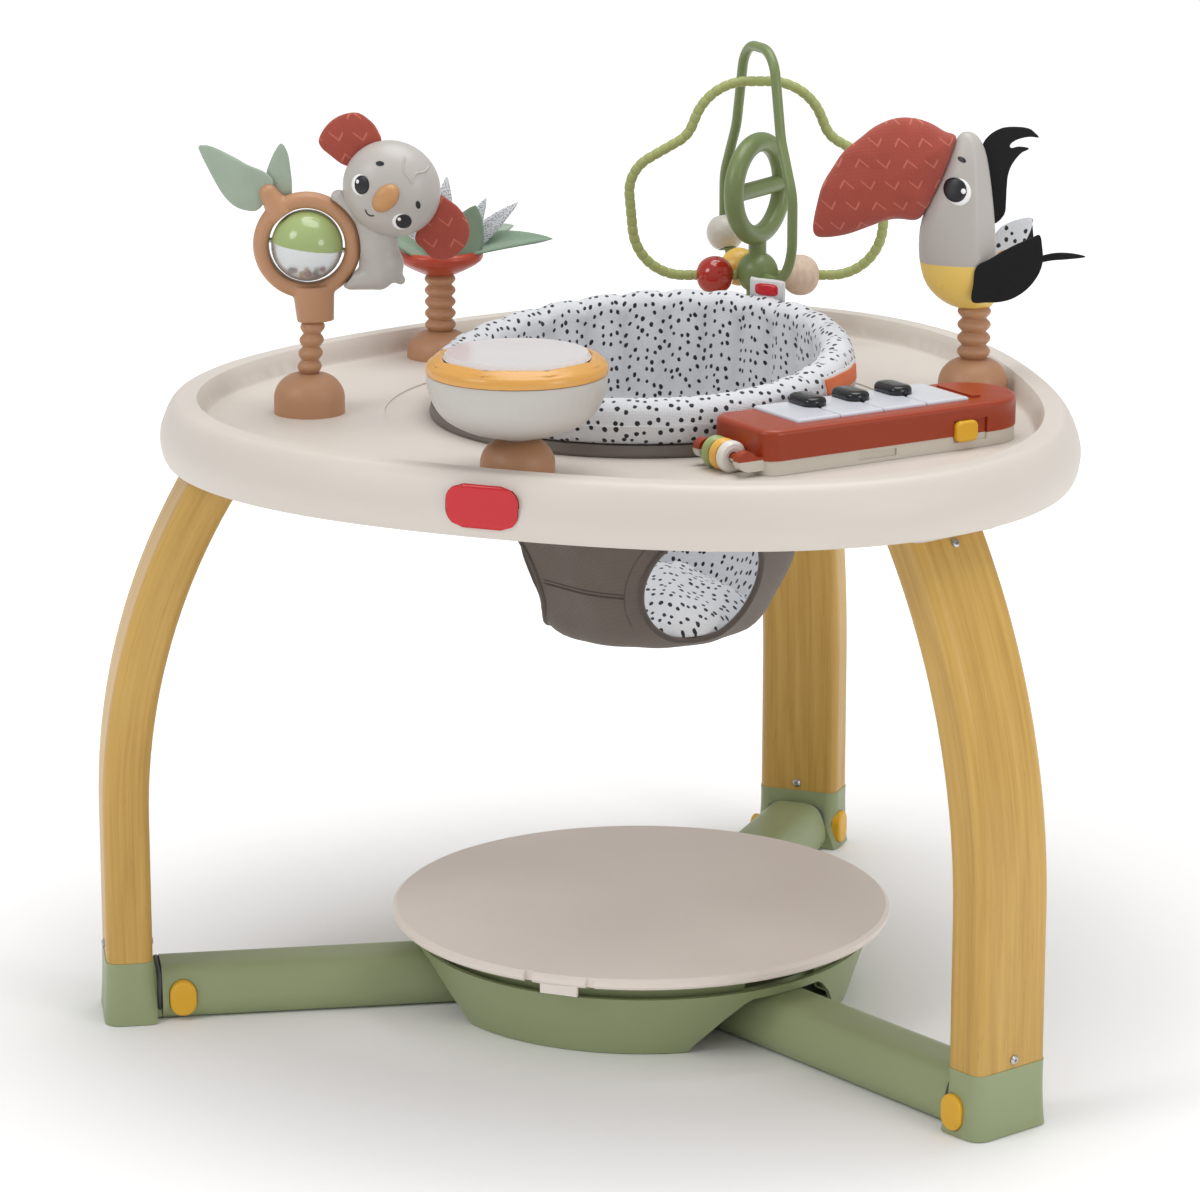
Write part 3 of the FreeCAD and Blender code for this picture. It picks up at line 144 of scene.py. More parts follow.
# ---------------------------------------------------------------- material building
class Graph:
    """A material's nodes, with short calls to add and join them."""

    def __init__(self, name, rough, **shader):
        self.material = bpy.data.materials.new(name)
        self.material.use_nodes = True
        self.tree = self.material.node_tree
        self.shader = self.tree.nodes["Principled BSDF"]
        self.set(self.shader, Roughness=rough, **{k.replace("_", " "): v for k, v in shader.items()})

    def set(self, node, **values):
        for name, value in values.items():
            self.feed(node.inputs[name], value)

    def feed(self, socket, value):
        if isinstance(value, bpy.types.NodeSocket):
            self.tree.links.new(value, socket)
        else:
            socket.default_value = value

    def add(self, kind, settings=None, **inputs):
        node = self.tree.nodes.new("ShaderNode" + kind)
        for name, value in (settings or {}).items():
            setattr(node, name, value)
        self.set(node, **inputs)
        return node

    def math(self, operation, *values):
        node = self.add("Math", {"operation": operation})
        for socket, value in zip(node.inputs, values):
            self.feed(socket, value)
        return node.outputs[0]

    def plus(self, *values):
        return self.math("ADD", *values)

    def minus(self, *values):
        return self.math("SUBTRACT", *values)

    def times(self, *values):
        return self.math("MULTIPLY", *values)

    def over(self, *values):
        return self.math("DIVIDE", *values)

    def squares(self, first, second):
        return self.plus(self.times(first, first), self.times(second, second))

    def apart(self, vector):
        return self.add("SeparateXYZ", None, Vector=vector).outputs

    def centred(self, value):
        """The fraction of a value, counted from the middle of its cell."""
        return self.minus(self.math("FRACT", value), 0.5)

    def eased(self, value, start, width):
        """0 before the start and 1 past the width, with a straight rise between."""
        share = self.over(self.minus(value, start), width)
        return self.math("MINIMUM", self.math("MAXIMUM", share, 0.0), 1.0)

    def combine(self, x, y, z):
        return self.add("CombineXYZ", X=x, Y=y, Z=z).outputs[0]

    def scaled(self, vector, factors):
        node = self.add("VectorMath", {"operation": "MULTIPLY"})
        self.feed(node.inputs[0], vector)
        node.inputs[1].default_value = factors
        return node.outputs[0]

    def here(self):
        return self.add("TexCoord").outputs["Object"]

    def cloth(self):
        return self.add("UVMap", {"uv_map": "cloth"}).outputs[0]

    def noise(self, vector, scale, detail=2.0, rough=0.5):
        return self.add("TexNoise", None, Vector=vector, Scale=scale, Detail=detail,
                        Roughness=rough).outputs["Fac"]

    def ramp(self, value, *stops):
        node = self.add("ValToRGB", None, Fac=value)
        elements = node.color_ramp.elements
        while len(elements) < len(stops):
            elements.new(0.5)
        for element, (position, colour) in zip(elements, stops):
            element.position = position
            element.color = colour
        return node.outputs["Color"]

    def mix(self, factor, first, second):
        node = self.add("Mix", {"data_type": "RGBA"})
        self.feed(node.inputs["Factor"], factor)
        self.feed(node.inputs[6], first)
        self.feed(node.inputs[7], second)
        return node.outputs[2]

    def bump(self, height, distance, strength=1.0, under=None):
        node = self.add("Bump", None, Height=height, Distance=distance, Strength=strength)
        if under is not None:
            self.feed(node.inputs["Normal"], under)
        return node.outputs[0]

    def spread(self, value, low, high):
        node = self.add("MapRange", None, Value=value)
        self.set(node, **{"To Min": low, "To Max": high})
        return node.outputs[0]


def tinted(rgb, factor):
    return linear([min(255, c * factor) for c in rgb])


def plastic(name, rgb, rough=0.42, grain=0.00006, vary=0.025, **shader):
    """Moulded plastic: faint tone changes, a fine spark-eroded grain and uneven gloss."""
    g = Graph(name, rough, **shader)
    at = g.here()
    broad = g.noise(at, 9, 3)
    g.set(g.shader, **{"Base Color": g.mix(broad, tinted(rgb, 1 - vary), tinted(rgb, 1 + vary))})
    fine = g.noise(at, 1400, 2)
    g.set(g.shader, Roughness=g.spread(g.noise(at, 60, 4), rough - 0.06, rough + 0.06),
          Normal=g.bump(fine, grain))
    return g.material


def two_tone(name, below, above, height):
    """Moulded plastic that changes colour at a height."""
    g = Graph(name, 0.36)
    at = g.here()
    z = g.apart(at)[2]
    broad = g.noise(at, 9, 3)
    tones = [g.mix(broad, tinted(rgb, 0.975), tinted(rgb, 1.025)) for rgb in (below, above)]
    g.set(g.shader, Roughness=g.spread(g.noise(at, 60, 4), 0.30, 0.42),
          Normal=g.bump(g.noise(at, 1400, 2), 0.00006),
          **{"Base Color": g.mix(g.math("GREATER_THAN", z, height), *tones)})
    return g.material


def ink(name, rgb, rough=0.35):
    """Pad-printed ink, a little uneven."""
    return plastic(name, rgb, rough, 0.00002, 0.04)


def weave(g, at, pitch, depth):
    """Bump of a plain weave, from coordinates in metres."""
    warp, weft = (g.math("SINE", g.times(part, TURN / pitch)) for part in g.apart(at)[:2])
    height = g.times(g.plus(warp, weft), 0.5)
    fuzz = g.noise(at, 900, 3)
    return g.bump(g.plus(height, fuzz), depth)


def fabric(name, rgb, pattern=None, pitch=0.0011, rough=0.85, depth=0.00018, sheen=0.25, vary=0.05):
    """Woven cloth.  pattern(graph, at) gives (mask, colour) of a print on it."""
    g = Graph(name, rough, Sheen_Weight=sheen, Sheen_Roughness=0.5)
    at = g.cloth()
    colour = g.mix(g.noise(at, 45, 4), tinted(rgb, 1 - vary), tinted(rgb, 1 + vary))
    if pattern is not None:
        mask, print_colour = pattern(g, at)
        colour = g.mix(mask, colour, print_colour)
    g.set(g.shader, Normal=weave(g, at, pitch, depth), **{"Base Color": colour})
    return g.material


def dots(g, at):
    """Irregular dark dots 2 to 3 mm across, about 7 mm apart."""
    wobble = g.add("TexNoise", None, Vector=at, Scale=330.0, Detail=1.0)
    push = g.scaled(wobble.outputs["Color"], (0.0013, 0.0013, 0))
    moved = g.add("VectorMath", {"operation": "ADD"})
    g.feed(moved.inputs[0], at)
    g.feed(moved.inputs[1], push)
    cells = g.add("TexVoronoi", {"voronoi_dimensions": "2D", "feature": "F1"},
                  Vector=g.scaled(moved.outputs[0], (1.0, 0.86, 1.0)), Scale=130.0, Randomness=0.66)
    chance = g.add("SeparateColor", None, Color=cells.outputs["Color"]).outputs[0]
    size = g.spread(chance, 0.18, 0.245)
    sharp = g.times(g.minus(size, cells.outputs["Distance"]), 40.0)
    mask = g.math("SMOOTH_MIN", 1.0, sharp, 0.05)
    return g.math("MAXIMUM", mask, 0.0), linear((25, 27, 33))


def speckles(g, at):
    """Fine grey flecks."""
    flecks = g.math("GREATER_THAN", g.noise(at, 900, 1), 0.56)
    return g.times(flecks, 0.8), linear((96, 104, 116))


def chevrons(g, at):
    """Sparse pale chevron strokes, turned one way or the other at random."""
    row_height, cell, row_shift = 0.0165, 0.0185, 0.37
    steepness, half_width, half_line = 1.25, 0.29, 0.055
    x, y, _ = g.apart(at)
    v = g.over(y, row_height)
    row = g.math("FLOOR", v)
    u = g.plus(g.over(x, cell), g.times(row, row_shift))
    column = g.math("FLOOR", u)
    chance = g.add("TexWhiteNoise", {"noise_dimensions": "2D"}, Vector=g.combine(column, row, 0.0))
    heads = g.math("GREATER_THAN", chance.outputs["Value"], 0.5)
    flip = g.minus(g.times(heads, 2.0), 1.0)
    slant = g.plus(g.centred(u), g.times(g.centred(v), 0.35))
    arm = g.minus(g.times(g.math("ABSOLUTE", slant), steepness), 0.18)
    away = g.math("ABSOLUTE", g.minus(g.times(g.centred(v), flip), arm))
    line = g.math("LESS_THAN", away, half_line)
    inside = g.math("LESS_THAN", g.math("ABSOLUTE", slant), half_width)
    return g.times(g.times(line, inside), 0.7), linear((206, 118, 98))


def felt(name, rgb):
    g = Graph(name, 0.95, Sheen_Weight=0.04, Sheen_Roughness=0.5)
    at = g.here()
    fibres = g.noise(at, 1100, 6, 0.7)
    g.set(g.shader, Normal=g.bump(fibres, 0.0004),
          **{"Base Color": g.mix(g.noise(at, 160, 4), tinted(rgb, 0.8), tinted(rgb, 1.25))})
    return g.material


def leg_wood():
    """Honey wood whose grain runs along the leg: straight up, then round the bend inwards."""
    g = Graph("leg_wood", 0.42, Coat_Weight=0.12, Coat_Roughness=0.25)
    knee_z, centre_r, bend = 0.165, -0.096, 0.505
    x, y, z = g.apart(g.here())
    radius = g.math("SQRT", g.squares(x, y))
    bearing = g.minus(g.math("ARCTAN2", y, x), math.pi / 2)
    third = g.math("WRAP", bearing, math.pi / 3, -math.pi / 3)
    side = g.times(radius, g.math("SINE", third))
    rise = g.math("MAXIMUM", g.minus(z, knee_z), 0.0)
    reach = g.minus(radius, centre_r)
    turn = g.math("ARCTAN2", rise, reach)
    out = g.math("SQRT", g.squares(rise, reach))
    along = g.plus(g.math("MINIMUM", z, knee_z), g.times(turn, bend))
    leg = g.math("ROUND", g.over(bearing, 2 * math.pi / 3))
    shifted = g.plus(along, g.times(leg, 3.7))
    grain = g.combine(side, g.minus(out, bend), shifted)

    warp = g.noise(g.scaled(grain, (1, 1, 0.22)), 14, 2)
    rings = g.plus(g.times(side, 330.0), g.plus(g.times(warp, 26.0), g.times(out, 160.0)))
    figure = g.times(g.plus(g.math("SINE", rings), 1.0), 0.5)
    streak = g.noise(g.scaled(grain, (1, 1, 0.025)), 260, 5, 0.65)
    pores = g.noise(g.scaled(grain, (1, 1, 0.04)), 900, 3, 0.6)
    tone = g.plus(g.times(figure, 0.14), g.times(streak, 0.86))
    colour = g.ramp(tone, (0.25, linear((180, 138, 62))), (0.5, linear((197, 156, 76))),
                    (0.75, linear((207, 168, 90))))
    dark = g.spread(g.math("LESS_THAN", pores, 0.34), 0.0, 0.28)
    g.set(g.shader, Roughness=g.spread(streak, 0.36, 0.52), Normal=g.bump(pores, 0.00008),
          **{"Base Color": g.mix(dark, colour, linear((140, 104, 52)))})
    return g.material


def bead_wood():
    g = Graph("bead_wood", 0.62)
    at = g.here()
    figure = g.noise(g.scaled(at, (1.0, 1.0, 0.25)), 260, 4, 0.6)
    g.set(g.shader, Normal=g.bump(figure, 0.00008),
          **{"Base Color": g.ramp(figure, (0.3, linear((205, 180, 158))), (0.7, linear((222, 201, 182))))})
    return g.material


def footboard_material():
    """Beige plastic whose top carries a shallow pattern of short raised dashes."""
    g = Graph("footboard_beige", 0.52)
    beige = (240, 230, 222)
    at = g.here()
    pattern_radius = 0.175
    x, y, _ = g.apart(at)
    u = g.over(g.plus(x, y), 0.016)
    v = g.over(g.minus(x, y), 0.008)
    staggered = g.plus(u, g.times(g.math("FLOOR", v), 0.5))
    along = g.math("LESS_THAN", g.math("ABSOLUTE", g.centred(staggered)), 0.3)
    across = g.math("LESS_THAN", g.math("ABSOLUTE", g.centred(v)), 0.2)
    inner = g.math("LESS_THAN", g.squares(x, y), pattern_radius ** 2)
    raised = g.times(g.times(along, across), inner)
    fine = g.bump(g.noise(at, 1500, 2), 0.00008)
    broad = g.noise(at, 7, 3)
    g.set(g.shader, Normal=g.bump(raised, 0.0003, 0.7, fine), Roughness=g.spread(broad, 0.46, 0.58),
          **{"Base Color": g.mix(broad, tinted(beige, 0.975), tinted(beige, 1.02))})
    return g.material


def metal(name, rgb, rough):
    g = Graph(name, rough, Metallic=1.0)
    at = g.here()
    g.set(g.shader, Normal=g.bump(g.noise(at, 2600, 2), 0.00003),
          Roughness=g.spread(g.noise(at, 300, 3), rough - 0.08, rough + 0.08),
          **{"Base Color": g.mix(g.noise(at, 90, 3), tinted(rgb, 0.92), tinted(rgb, 1.03))})
    return g.material


def clear(name, rgb, rough, weight):
    g = Graph(name, rough, Transmission_Weight=weight, IOR=1.45)
    at = g.here()
    g.set(g.shader, Normal=g.bump(g.noise(at, 70, 2), 0.0001),
          **{"Base Color": g.mix(g.noise(at, 30, 2), tinted(rgb, 0.99), linear(rgb))})
    return g.material


def floor_material():
    """White studio floor with painted light: an emission glow that grows away from the object, like a lit
    sweep.
    """
    g = Graph("floor", 0.7)
    at = g.here()
    x, y, _ = g.apart(at)
    far = g.math("SQRT", g.squares(x, y))
    near = g.eased(far, 0.42, 0.55)
    wide = g.eased(far, 0.9, 2.4)
    tone = g.mix(g.noise(at, 3, 2), linear((247, 247, 247)), linear((250, 250, 250)))
    # painted light: the floor glows, not at all near the object and more and more towards the distance
    painted_glow = g.plus(g.times(near, 0.30), g.times(wide, 0.22))
    g.set(g.shader, **{"Base Color": tone, "Emission Color": linear((255, 255, 255)),
                       "Emission Strength": painted_glow})
    return g.material


M = {
    "tray": plastic("tray_cream", (211, 203, 194), 0.46, 0.00005, 0.012),
    "wood": leg_wood(),
    "green": plastic("base_green", (150, 161, 120), 0.40),
    "yellow": plastic("button_yellow", (228, 174, 38), 0.35),
    "screw": metal("screw_steel", (196, 198, 202), 0.3),
    "board": footboard_material(),
    "spring": metal("spring_steel", (172, 174, 178), 0.35),
    "taupe_ring": plastic("seat_ring_taupe", (112, 104, 98), 0.5),
    "dotted": fabric("seat_dotted_fabric", (222, 224, 228), dots, vary=0.015),
    "pouch": fabric("pouch_taupe_fabric", (104, 93, 85), None, 0.0012, 0.8, vary=0.06),
    "piping": fabric("piping_taupe", (82, 73, 68), None, 0.0012, 0.8),
    "tan": plastic("toy_tan", (184, 137, 102), 0.44),
    "rattle_green": plastic("rattle_green", (158, 176, 116), 0.18, 0.00001, 0.03, Coat_Weight=0.3),
    "rattle_clear": clear("rattle_clear", (245, 247, 248), 0.18, 0.85),
    "grey": plastic("toy_grey", (182, 177, 172), 0.36),
    "rust_cloth": fabric("rust_fabric", (168, 72, 56), chevrons, 0.0010),
    "sage": fabric("sage_fabric", (166, 182, 164), None, 0.0009),
    "leaf_green": fabric("leaf_green_fabric", (134, 158, 134), None, 0.0009),
    "speckled": fabric("speckled_fabric", (222, 224, 228), speckles, 0.0009),
    "rust": plastic("cup_rust", (176, 62, 38), 0.3),
    "bowl_white": plastic("drum_bowl_white", (190, 186, 180), 0.42),
    "drum_yellow": plastic("drum_yellow", (214, 158, 78), 0.28),
    "drum_clear": clear("drum_head_clear", (246, 241, 241), 0.14, 0.35),
    "post_green": plastic("post_green", (118, 134, 84), 0.32),
    "loop_green": plastic("loop_green", (158, 166, 102), 0.5),
    "bead_red": plastic("bead_red", (176, 38, 22), 0.12, 0.00001, 0.03, Coat_Weight=0.5),
    "bead_wood": bead_wood(),
    "bead_yellow": plastic("bead_yellow", (240, 196, 92), 0.25),
    "bead_pale": plastic("bead_pale", (208, 203, 192), 0.3),
    "felt": felt("feather_black", (15, 15, 17)),
    "wing_orange": fabric("wing_orange", (206, 142, 72), None, 0.0009),
    "felt_yellow": plastic("toucan_yellow", (236, 202, 106), 0.3),
    "piano_cream": two_tone("piano_cream", (206, 200, 188), (156, 55, 20), 0.4815),
    "piano_rust": plastic("piano_rust", (156, 55, 20), 0.34),
    "key_white": plastic("key_white", (206, 209, 216), 0.25),
    "key_black": plastic("key_black", (24, 25, 29), 0.12),
    "ring_green": plastic("ring_green", (160, 178, 118), 0.2),
    "ring_yellow": plastic("ring_yellow", (238, 184, 82), 0.2),
    "ring_white": plastic("ring_white", (228, 225, 218), 0.2),
    "black_ink": ink("black_ink", (26, 27, 30)),
    "white_ink": ink("white_ink", (240, 240, 240)),
    "nose": plastic("nose_tan", (192, 142, 92), 0.35),
    "badge": plastic("badge_red", (196, 22, 34), 0.22, 0.00001, 0.02),
    "label_white": fabric("label_white", (232, 231, 230), None, 0.0006),
    "label_orange": fabric("label_orange", (236, 112, 38), None, 0.0006),
    "collar": plastic("collar_grey", (74, 78, 80), 0.5),
    "pellet_red": plastic("pellet_red", (205, 70, 90), 0.25),
    "pellet_black": plastic("pellet_black", (50, 50, 60), 0.25),
}

CAD_LOOKS = {
    "tray": "tray", "hub": "green", "leg_screws": "screw", "toy_sockets": "tan",
    "footboard_springs": "spring", "drum_bowl": "bowl_white", "drum_rim": "drum_yellow",
    "drum_head": "drum_clear", "bead_post": "post_green", "loop_outer": "loop_green",
    "piano_base": "piano_cream", "piano_top": "piano_rust", "piano_black_keys": "key_black",
    "seat_ring": "taupe_ring", "seat_cushion": "dotted", "seat_pouch": "pouch", "footboard": "board",
    "footboard_skirt": "green", "koala_stem": "tan", "branch_ring": "tan", "koala_body": "grey",
    "koala_ears": "rust_cloth", "branch_leaves": "sage", "rattle_cap": "rattle_green",
    "rattle_bowl": "rattle_clear", "rattle_pellets": "pellet_red", "flower_stem": "tan",
    "flower_cup": "rust", "flower_leaves": "sage", "toucan_stem": "tan", "toucan_body": "grey",
    "toucan_beak": "rust_cloth", "toucan_feathers": "felt", "bead_red": "bead_red",
    "bead_wood": "bead_wood", "bead_yellow": "bead_yellow", "bead_pale": "bead_pale",
    "piano_slider": "yellow", "piano_ring_green": "ring_green", "piano_ring_yellow": "ring_yellow",
    "piano_ring_white": "ring_white",
}


def dress_cad():
    looks = dict(CAD_LOOKS)
    for side in ("left", "right", "back"):
        looks["leg_" + side] = "wood"
        looks["foot_" + side] = "green"
        looks["arm_" + side] = "green"
        looks["release_foot_" + side] = "yellow"
        looks["release_arm_" + side] = "yellow"
    for i in range(1, 5):
        looks["white_key_%d" % i] = "key_white"
    for node, look in looks.items():
        for slot in nodes[node].material_slots:
            slot.material = M[look]


dress_cad()
make_studio()


# ---------------------------------------------------------------- mesh building
WHOLE = Matrix.Scale(MM, 4)


def toy_frame(node, lift=0.0):
    """The upright frame of the toy whose round CAD node stands on the toy's axis."""
    low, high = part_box(node)
    centre = Vector(((low.x + high.x) / 2, (low.y + high.y) / 2, lift))
    return Matrix.Translation(centre) @ turned(TOY_TURN) @ WHOLE


KOALA = toy_frame("koala_stem")
FLOWER = toy_frame("flower_stem")
DRUM = toy_frame("drum_bowl")
BEADS = toy_frame("bead_post")
TOUCAN = toy_frame("toucan_stem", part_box("toucan_stem")[1].z - 0.535)


def build(name, points, faces, where, material, uv=None, period=None):
    """A smooth mesh object from local points.  uv gives each point's cloth coordinates in metres."""
    mesh = bpy.data.meshes.new(name)
    mesh.from_pydata([where @ Vector(p) for p in points], [], faces)
    tidy = bmesh.new()
    tidy.from_mesh(mesh)
    bmesh.ops.recalc_face_normals(tidy, faces=tidy.faces)
    tidy.to_mesh(mesh)
    tidy.free()
    mesh.polygons.foreach_set("use_smooth", [True] * len(mesh.polygons))
    mesh.materials.append(material)
    obj = bpy.data.objects.new(name, mesh)
    scene.collection.objects.link(obj)
    if uv is not None:
        set_uv(obj, uv, period)
    return obj


def set_uv(obj, uv, period=None):
    layer = obj.data.uv_layers.new(name="cloth")
    for polygon in obj.data.polygons:
        first = uv[obj.data.loops[polygon.loop_start].vertex_index][0]
        for index in polygon.loop_indices:
            u, v = uv[obj.data.loops[index].vertex_index]
            if period is not None:
                u -= round((u - first) / period) * period
            layer.data[index].uv = (u, v)


def settle(obj):
    """Apply the object's modifiers to its mesh."""
    graph = bpy.context.evaluated_depsgraph_get()
    mesh = bpy.data.meshes.new_from_object(obj.evaluated_get(graph))
    obj.modifiers.clear()
    obj.data = mesh
    return obj


def subdivide(obj, levels=1):
    obj.modifiers.new("Smoother", "SUBSURF").levels = levels
    return settle(obj)


def grid_faces(rows, columns, wrap_rows=False, wrap_columns=False):
    """Quads over points stored row by row."""
    faces = []
    for i in range(rows if wrap_rows else rows - 1):
        for j in range(columns if wrap_columns else columns - 1):
            below = (i + 1) % rows
            right = (j + 1) % columns
            faces.append((i * columns + j, i * columns + right, below * columns + right,
                          below * columns + j))
    return faces


def capped(rows, columns):
    """Quads round a closed tube of rows, with a face over each end."""
    return grid_faces(rows, columns, False, True) + [
        tuple(range(columns)), tuple(range((rows - 1) * columns, rows * columns))]


def fanned(rows, columns):
    """Triangles from point 0 to the first row round it, then quads between the rows."""
    return ([(0, 1 + j, 1 + (j + 1) % columns) for j in range(columns)]
            + [tuple(k + 1 for k in face) for face in grid_faces(rows, columns, False, True)])


def smooth(pairs, per=3, closed=False):
    """A smooth curve through (x, z) pairs, as pairs."""
    return [(p.x, p.z) for p in through([(x, 0, z) for x, z in pairs], per, closed)]


def through(points, per, closed):
    """Points of a smooth curve through the given ones."""
    points = [Vector(p) for p in points]
    count = len(points)
    found = []
    for i in range(count if closed else count - 1):
        if closed:
            a, b, c, d = (points[(i + k) % count] for k in (-1, 0, 1, 2))
        else:
            a, b, c, d = (points[min(max(i + k, 0), count - 1)] for k in (-1, 0, 1, 2))
        for step in range(per):
            t = step / per
            found.append(0.5 * (2 * b + (c - a) * t + (2 * a - 5 * b + 4 * c - d) * t * t
                                + (3 * b - a - 3 * c + d) * t ** 3))
    if not closed:
        found.append(points[-1])
    return found


def lathe(name, profile, where, material, steps=72, closed=False, wave=None):
    """A turned shape from (radius, height) points.  wave(angle, r, z) may move a point."""
    points = []
    for r, z in profile:
        for j in range(steps):
            angle = TURN * j / steps
            radius, height = wave(angle, r, z) if wave else (r, z)
            points.append((radius * math.cos(angle), radius * math.sin(angle), height))
    rows = len(profile)
    faces = grid_faces(rows, steps, True, True) if closed else capped(rows, steps)
    return build(name, points, faces, where, material)


def tube(name, path, radius, where, material, sides=12, closed=False, size=None):
    """A round tube along points.  size(length so far) scales the radius."""
    path = [Vector(p) for p in path]
    count = len(path)
    normal = None
    points = []
    run = 0.0
    for i, here in enumerate(path):
        before = path[(i - 1) % count] if closed or i else here
        after = path[(i + 1) % count] if closed or i < count - 1 else here
        heading = (after - before).normalized()
        if normal is None:
            normal = heading.orthogonal().normalized()
        normal = (normal - heading * normal.dot(heading)).normalized()
        other = heading.cross(normal)
        if i:
            run += (here - path[i - 1]).length
        scale = radius * (size(run) if size else 1.0)
        for j in range(sides):
            angle = TURN * j / sides
            points.append(here + (normal * math.cos(angle) + other * math.sin(angle)) * scale)
    faces = grid_faces(count, sides, True, True) if closed else capped(count, sides)
    return build(name, points, faces, where, material)


def remeshed(name, fill, voxel, smooth, material):
    """Local-frame mesh object: fill(bmesh) adds closed shapes, which are fused and smoothed."""
    rough = bmesh.new()
    fill(rough)
    mesh = bpy.data.meshes.new(name)
    rough.to_mesh(mesh)
    rough.free()
    mesh.materials.append(material)
    obj = bpy.data.objects.new(name, mesh)
    scene.collection.objects.link(obj)
    remesh = obj.modifiers.new("Fuse", "REMESH")
    remesh.mode = "VOXEL"
    remesh.voxel_size = voxel
    remesh.use_smooth_shade = True
    if smooth:
        soften = obj.modifiers.new("Soften", "SMOOTH")
        soften.factor = 0.5
        soften.iterations = smooth
    return settle(obj)


def put(obj, where):
    """Move a local-frame mesh into the row frame."""
    obj.data.transform(where)
    obj.data.update()
    return obj


def ball(rough, centre, radii, lean=0.0):
    place = (Matrix.Translation(centre) @ turned(lean, "Y")
             @ Matrix.Diagonal((*radii, 1)))
    bmesh.ops.create_uvsphere(rough, u_segments=40, v_segments=24, radius=1, matrix=place)


def rod(rough, start, end, first, last):
    """A round-ended tapered rod."""
    start, end = Vector(start), Vector(end)
    way = end - start
    place = Matrix.Translation((start + end) / 2) @ way.to_track_quat("Z", "Y").to_matrix().to_4x4()
    bmesh.ops.create_cone(rough, cap_ends=True, segments=32, radius1=first, radius2=last,
                          depth=way.length, matrix=place)
    ball(rough, start, (first,) * 3)
    ball(rough, end, (last,) * 3)


def turned_into(rough, profile, place, steps=72):
    """Add a closed ring turned from a loop of (radius, height)."""
    rings = [[rough.verts.new(place @ Vector((r * math.cos(a), r * math.sin(a), z)))
              for a in (TURN * j / steps for j in range(steps))] for r, z in profile]
    for i, ring in enumerate(rings):
        other = rings[(i + 1) % len(rings)]
        for j in range(steps):
            k = (j + 1) % steps
            rough.faces.new((ring[j], ring[k], other[k], other[j]))


def surface_of(obj):
    """Ray-casting tree of a local-frame mesh."""
    return BVHTree.FromPolygons([v.co.copy() for v in obj.data.vertices],
                                [tuple(p.vertices) for p in obj.data.polygons])


def on_front(tree, x, z, lift):
    """The point of a toy's near side at (x, z), lifted off along the normal."""
    spot, normal, _, _ = tree.ray_cast(Vector((x, -300, z)), AWAY)
    if spot is None:
        return None
    return spot + normal * lift


def printed(name, tree, centre, radii, spin, where, material, lift=0.35, dome=0.0):
    """A printed or raised oval that follows the surface under it."""
    rings, sides = 5, 32
    turn = math.radians(spin)
    points = [on_front(tree, centre[0], centre[1], lift + dome)]
    for i in range(1, rings + 2):
        share = min(i, rings) / rings
        sunk = -1.2 if i > rings else lift + dome * math.sqrt(max(0.0, 1 - share ** 2))
        for j in range(sides):
            angle = TURN * j / sides
            a, b = radii[0] * share * math.cos(angle), radii[1] * share * math.sin(angle)
            x = centre[0] + a * math.cos(turn) - b * math.sin(turn)
            z = centre[1] + a * math.sin(turn) + b * math.cos(turn)
            points.append(on_front(tree, x, z, sunk) or points[-1])
    return build(name, points, fanned(rings + 1, sides), where, material)


def stroke(name, tree, points, radius, where, material, lift=0.0):
    """A thin raised line over a surface, through (x, z) points."""
    path = []
    for x, z in smooth(points, 6):
        spot = on_front(tree, x, z, lift)
        if spot is not None:
            path.append(spot)
    return tube(name, path, radius, where, material, 8)


def wear(obj, body, node=None):
    """Hang a piece on the body it rides on, and hide the CAD node it stands for, if any."""
    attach(obj, body)
    if node:
        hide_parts(node)


# ---------------------------------------------------------------- cloth
def inflate(obj, pressure, cap, pinned=()):
    """Swell a closed cloth mesh by simulation, no point moving more than cap metres."""
    frames = 20
    rest = [v.co.copy() for v in obj.data.vertices]
    cloth = obj.modifiers.new("Cloth", "CLOTH")
    cloth.settings.quality = 5
    cloth.settings.use_pressure = True
    cloth.settings.uniform_pressure_force = pressure
    cloth.settings.effector_weights.gravity = 0
    cloth.settings.tension_stiffness = 25
    cloth.settings.bending_stiffness = 0.4
    if pinned:
        obj.vertex_groups.new(name="pins").add(list(pinned), 1.0, "REPLACE")
        cloth.settings.vertex_group_mass = "pins"
    cloth.point_cache.frame_start = 1
    cloth.point_cache.frame_end = frames
    for step in range(1, frames + 1):
        scene.frame_set(step)
    graph = bpy.context.evaluated_depsgraph_get()
    swollen = [v.co.copy() for v in obj.evaluated_get(graph).data.vertices]
    obj.modifiers.clear()
    obj.vertex_groups.clear()
    scene.frame_set(1)
    for vertex, start, end in zip(obj.data.vertices, rest, swollen):
        move = end - start
        if move.length > cap:
            move *= cap / move.length
        vertex.co = start + move
    obj.data.update()


def cut_shape(name, outline, thickness, voxel, material):
    """Flat local-frame solid cut to a smooth outline of any shape, about the plane y = 0."""
    loop = smooth(outline, 5, True)

    def fill(rough):
        ring = [rough.verts.new((x, -thickness / 2, z)) for x, z in loop]
        face = rough.faces.new(ring)
        pushed = bmesh.ops.extrude_face_region(rough, geom=[face])["geom"]
        new = [v for v in pushed if isinstance(v, bmesh.types.BMVert)]
        bmesh.ops.translate(rough, verts=new, vec=(0, thickness, 0))
        bmesh.ops.triangulate(rough, faces=rough.faces)

    obj = remeshed(name, fill, voxel, 2, material)
    set_uv(obj, [(v.co.x * MM, v.co.z * MM) for v in obj.data.vertices])
    return obj


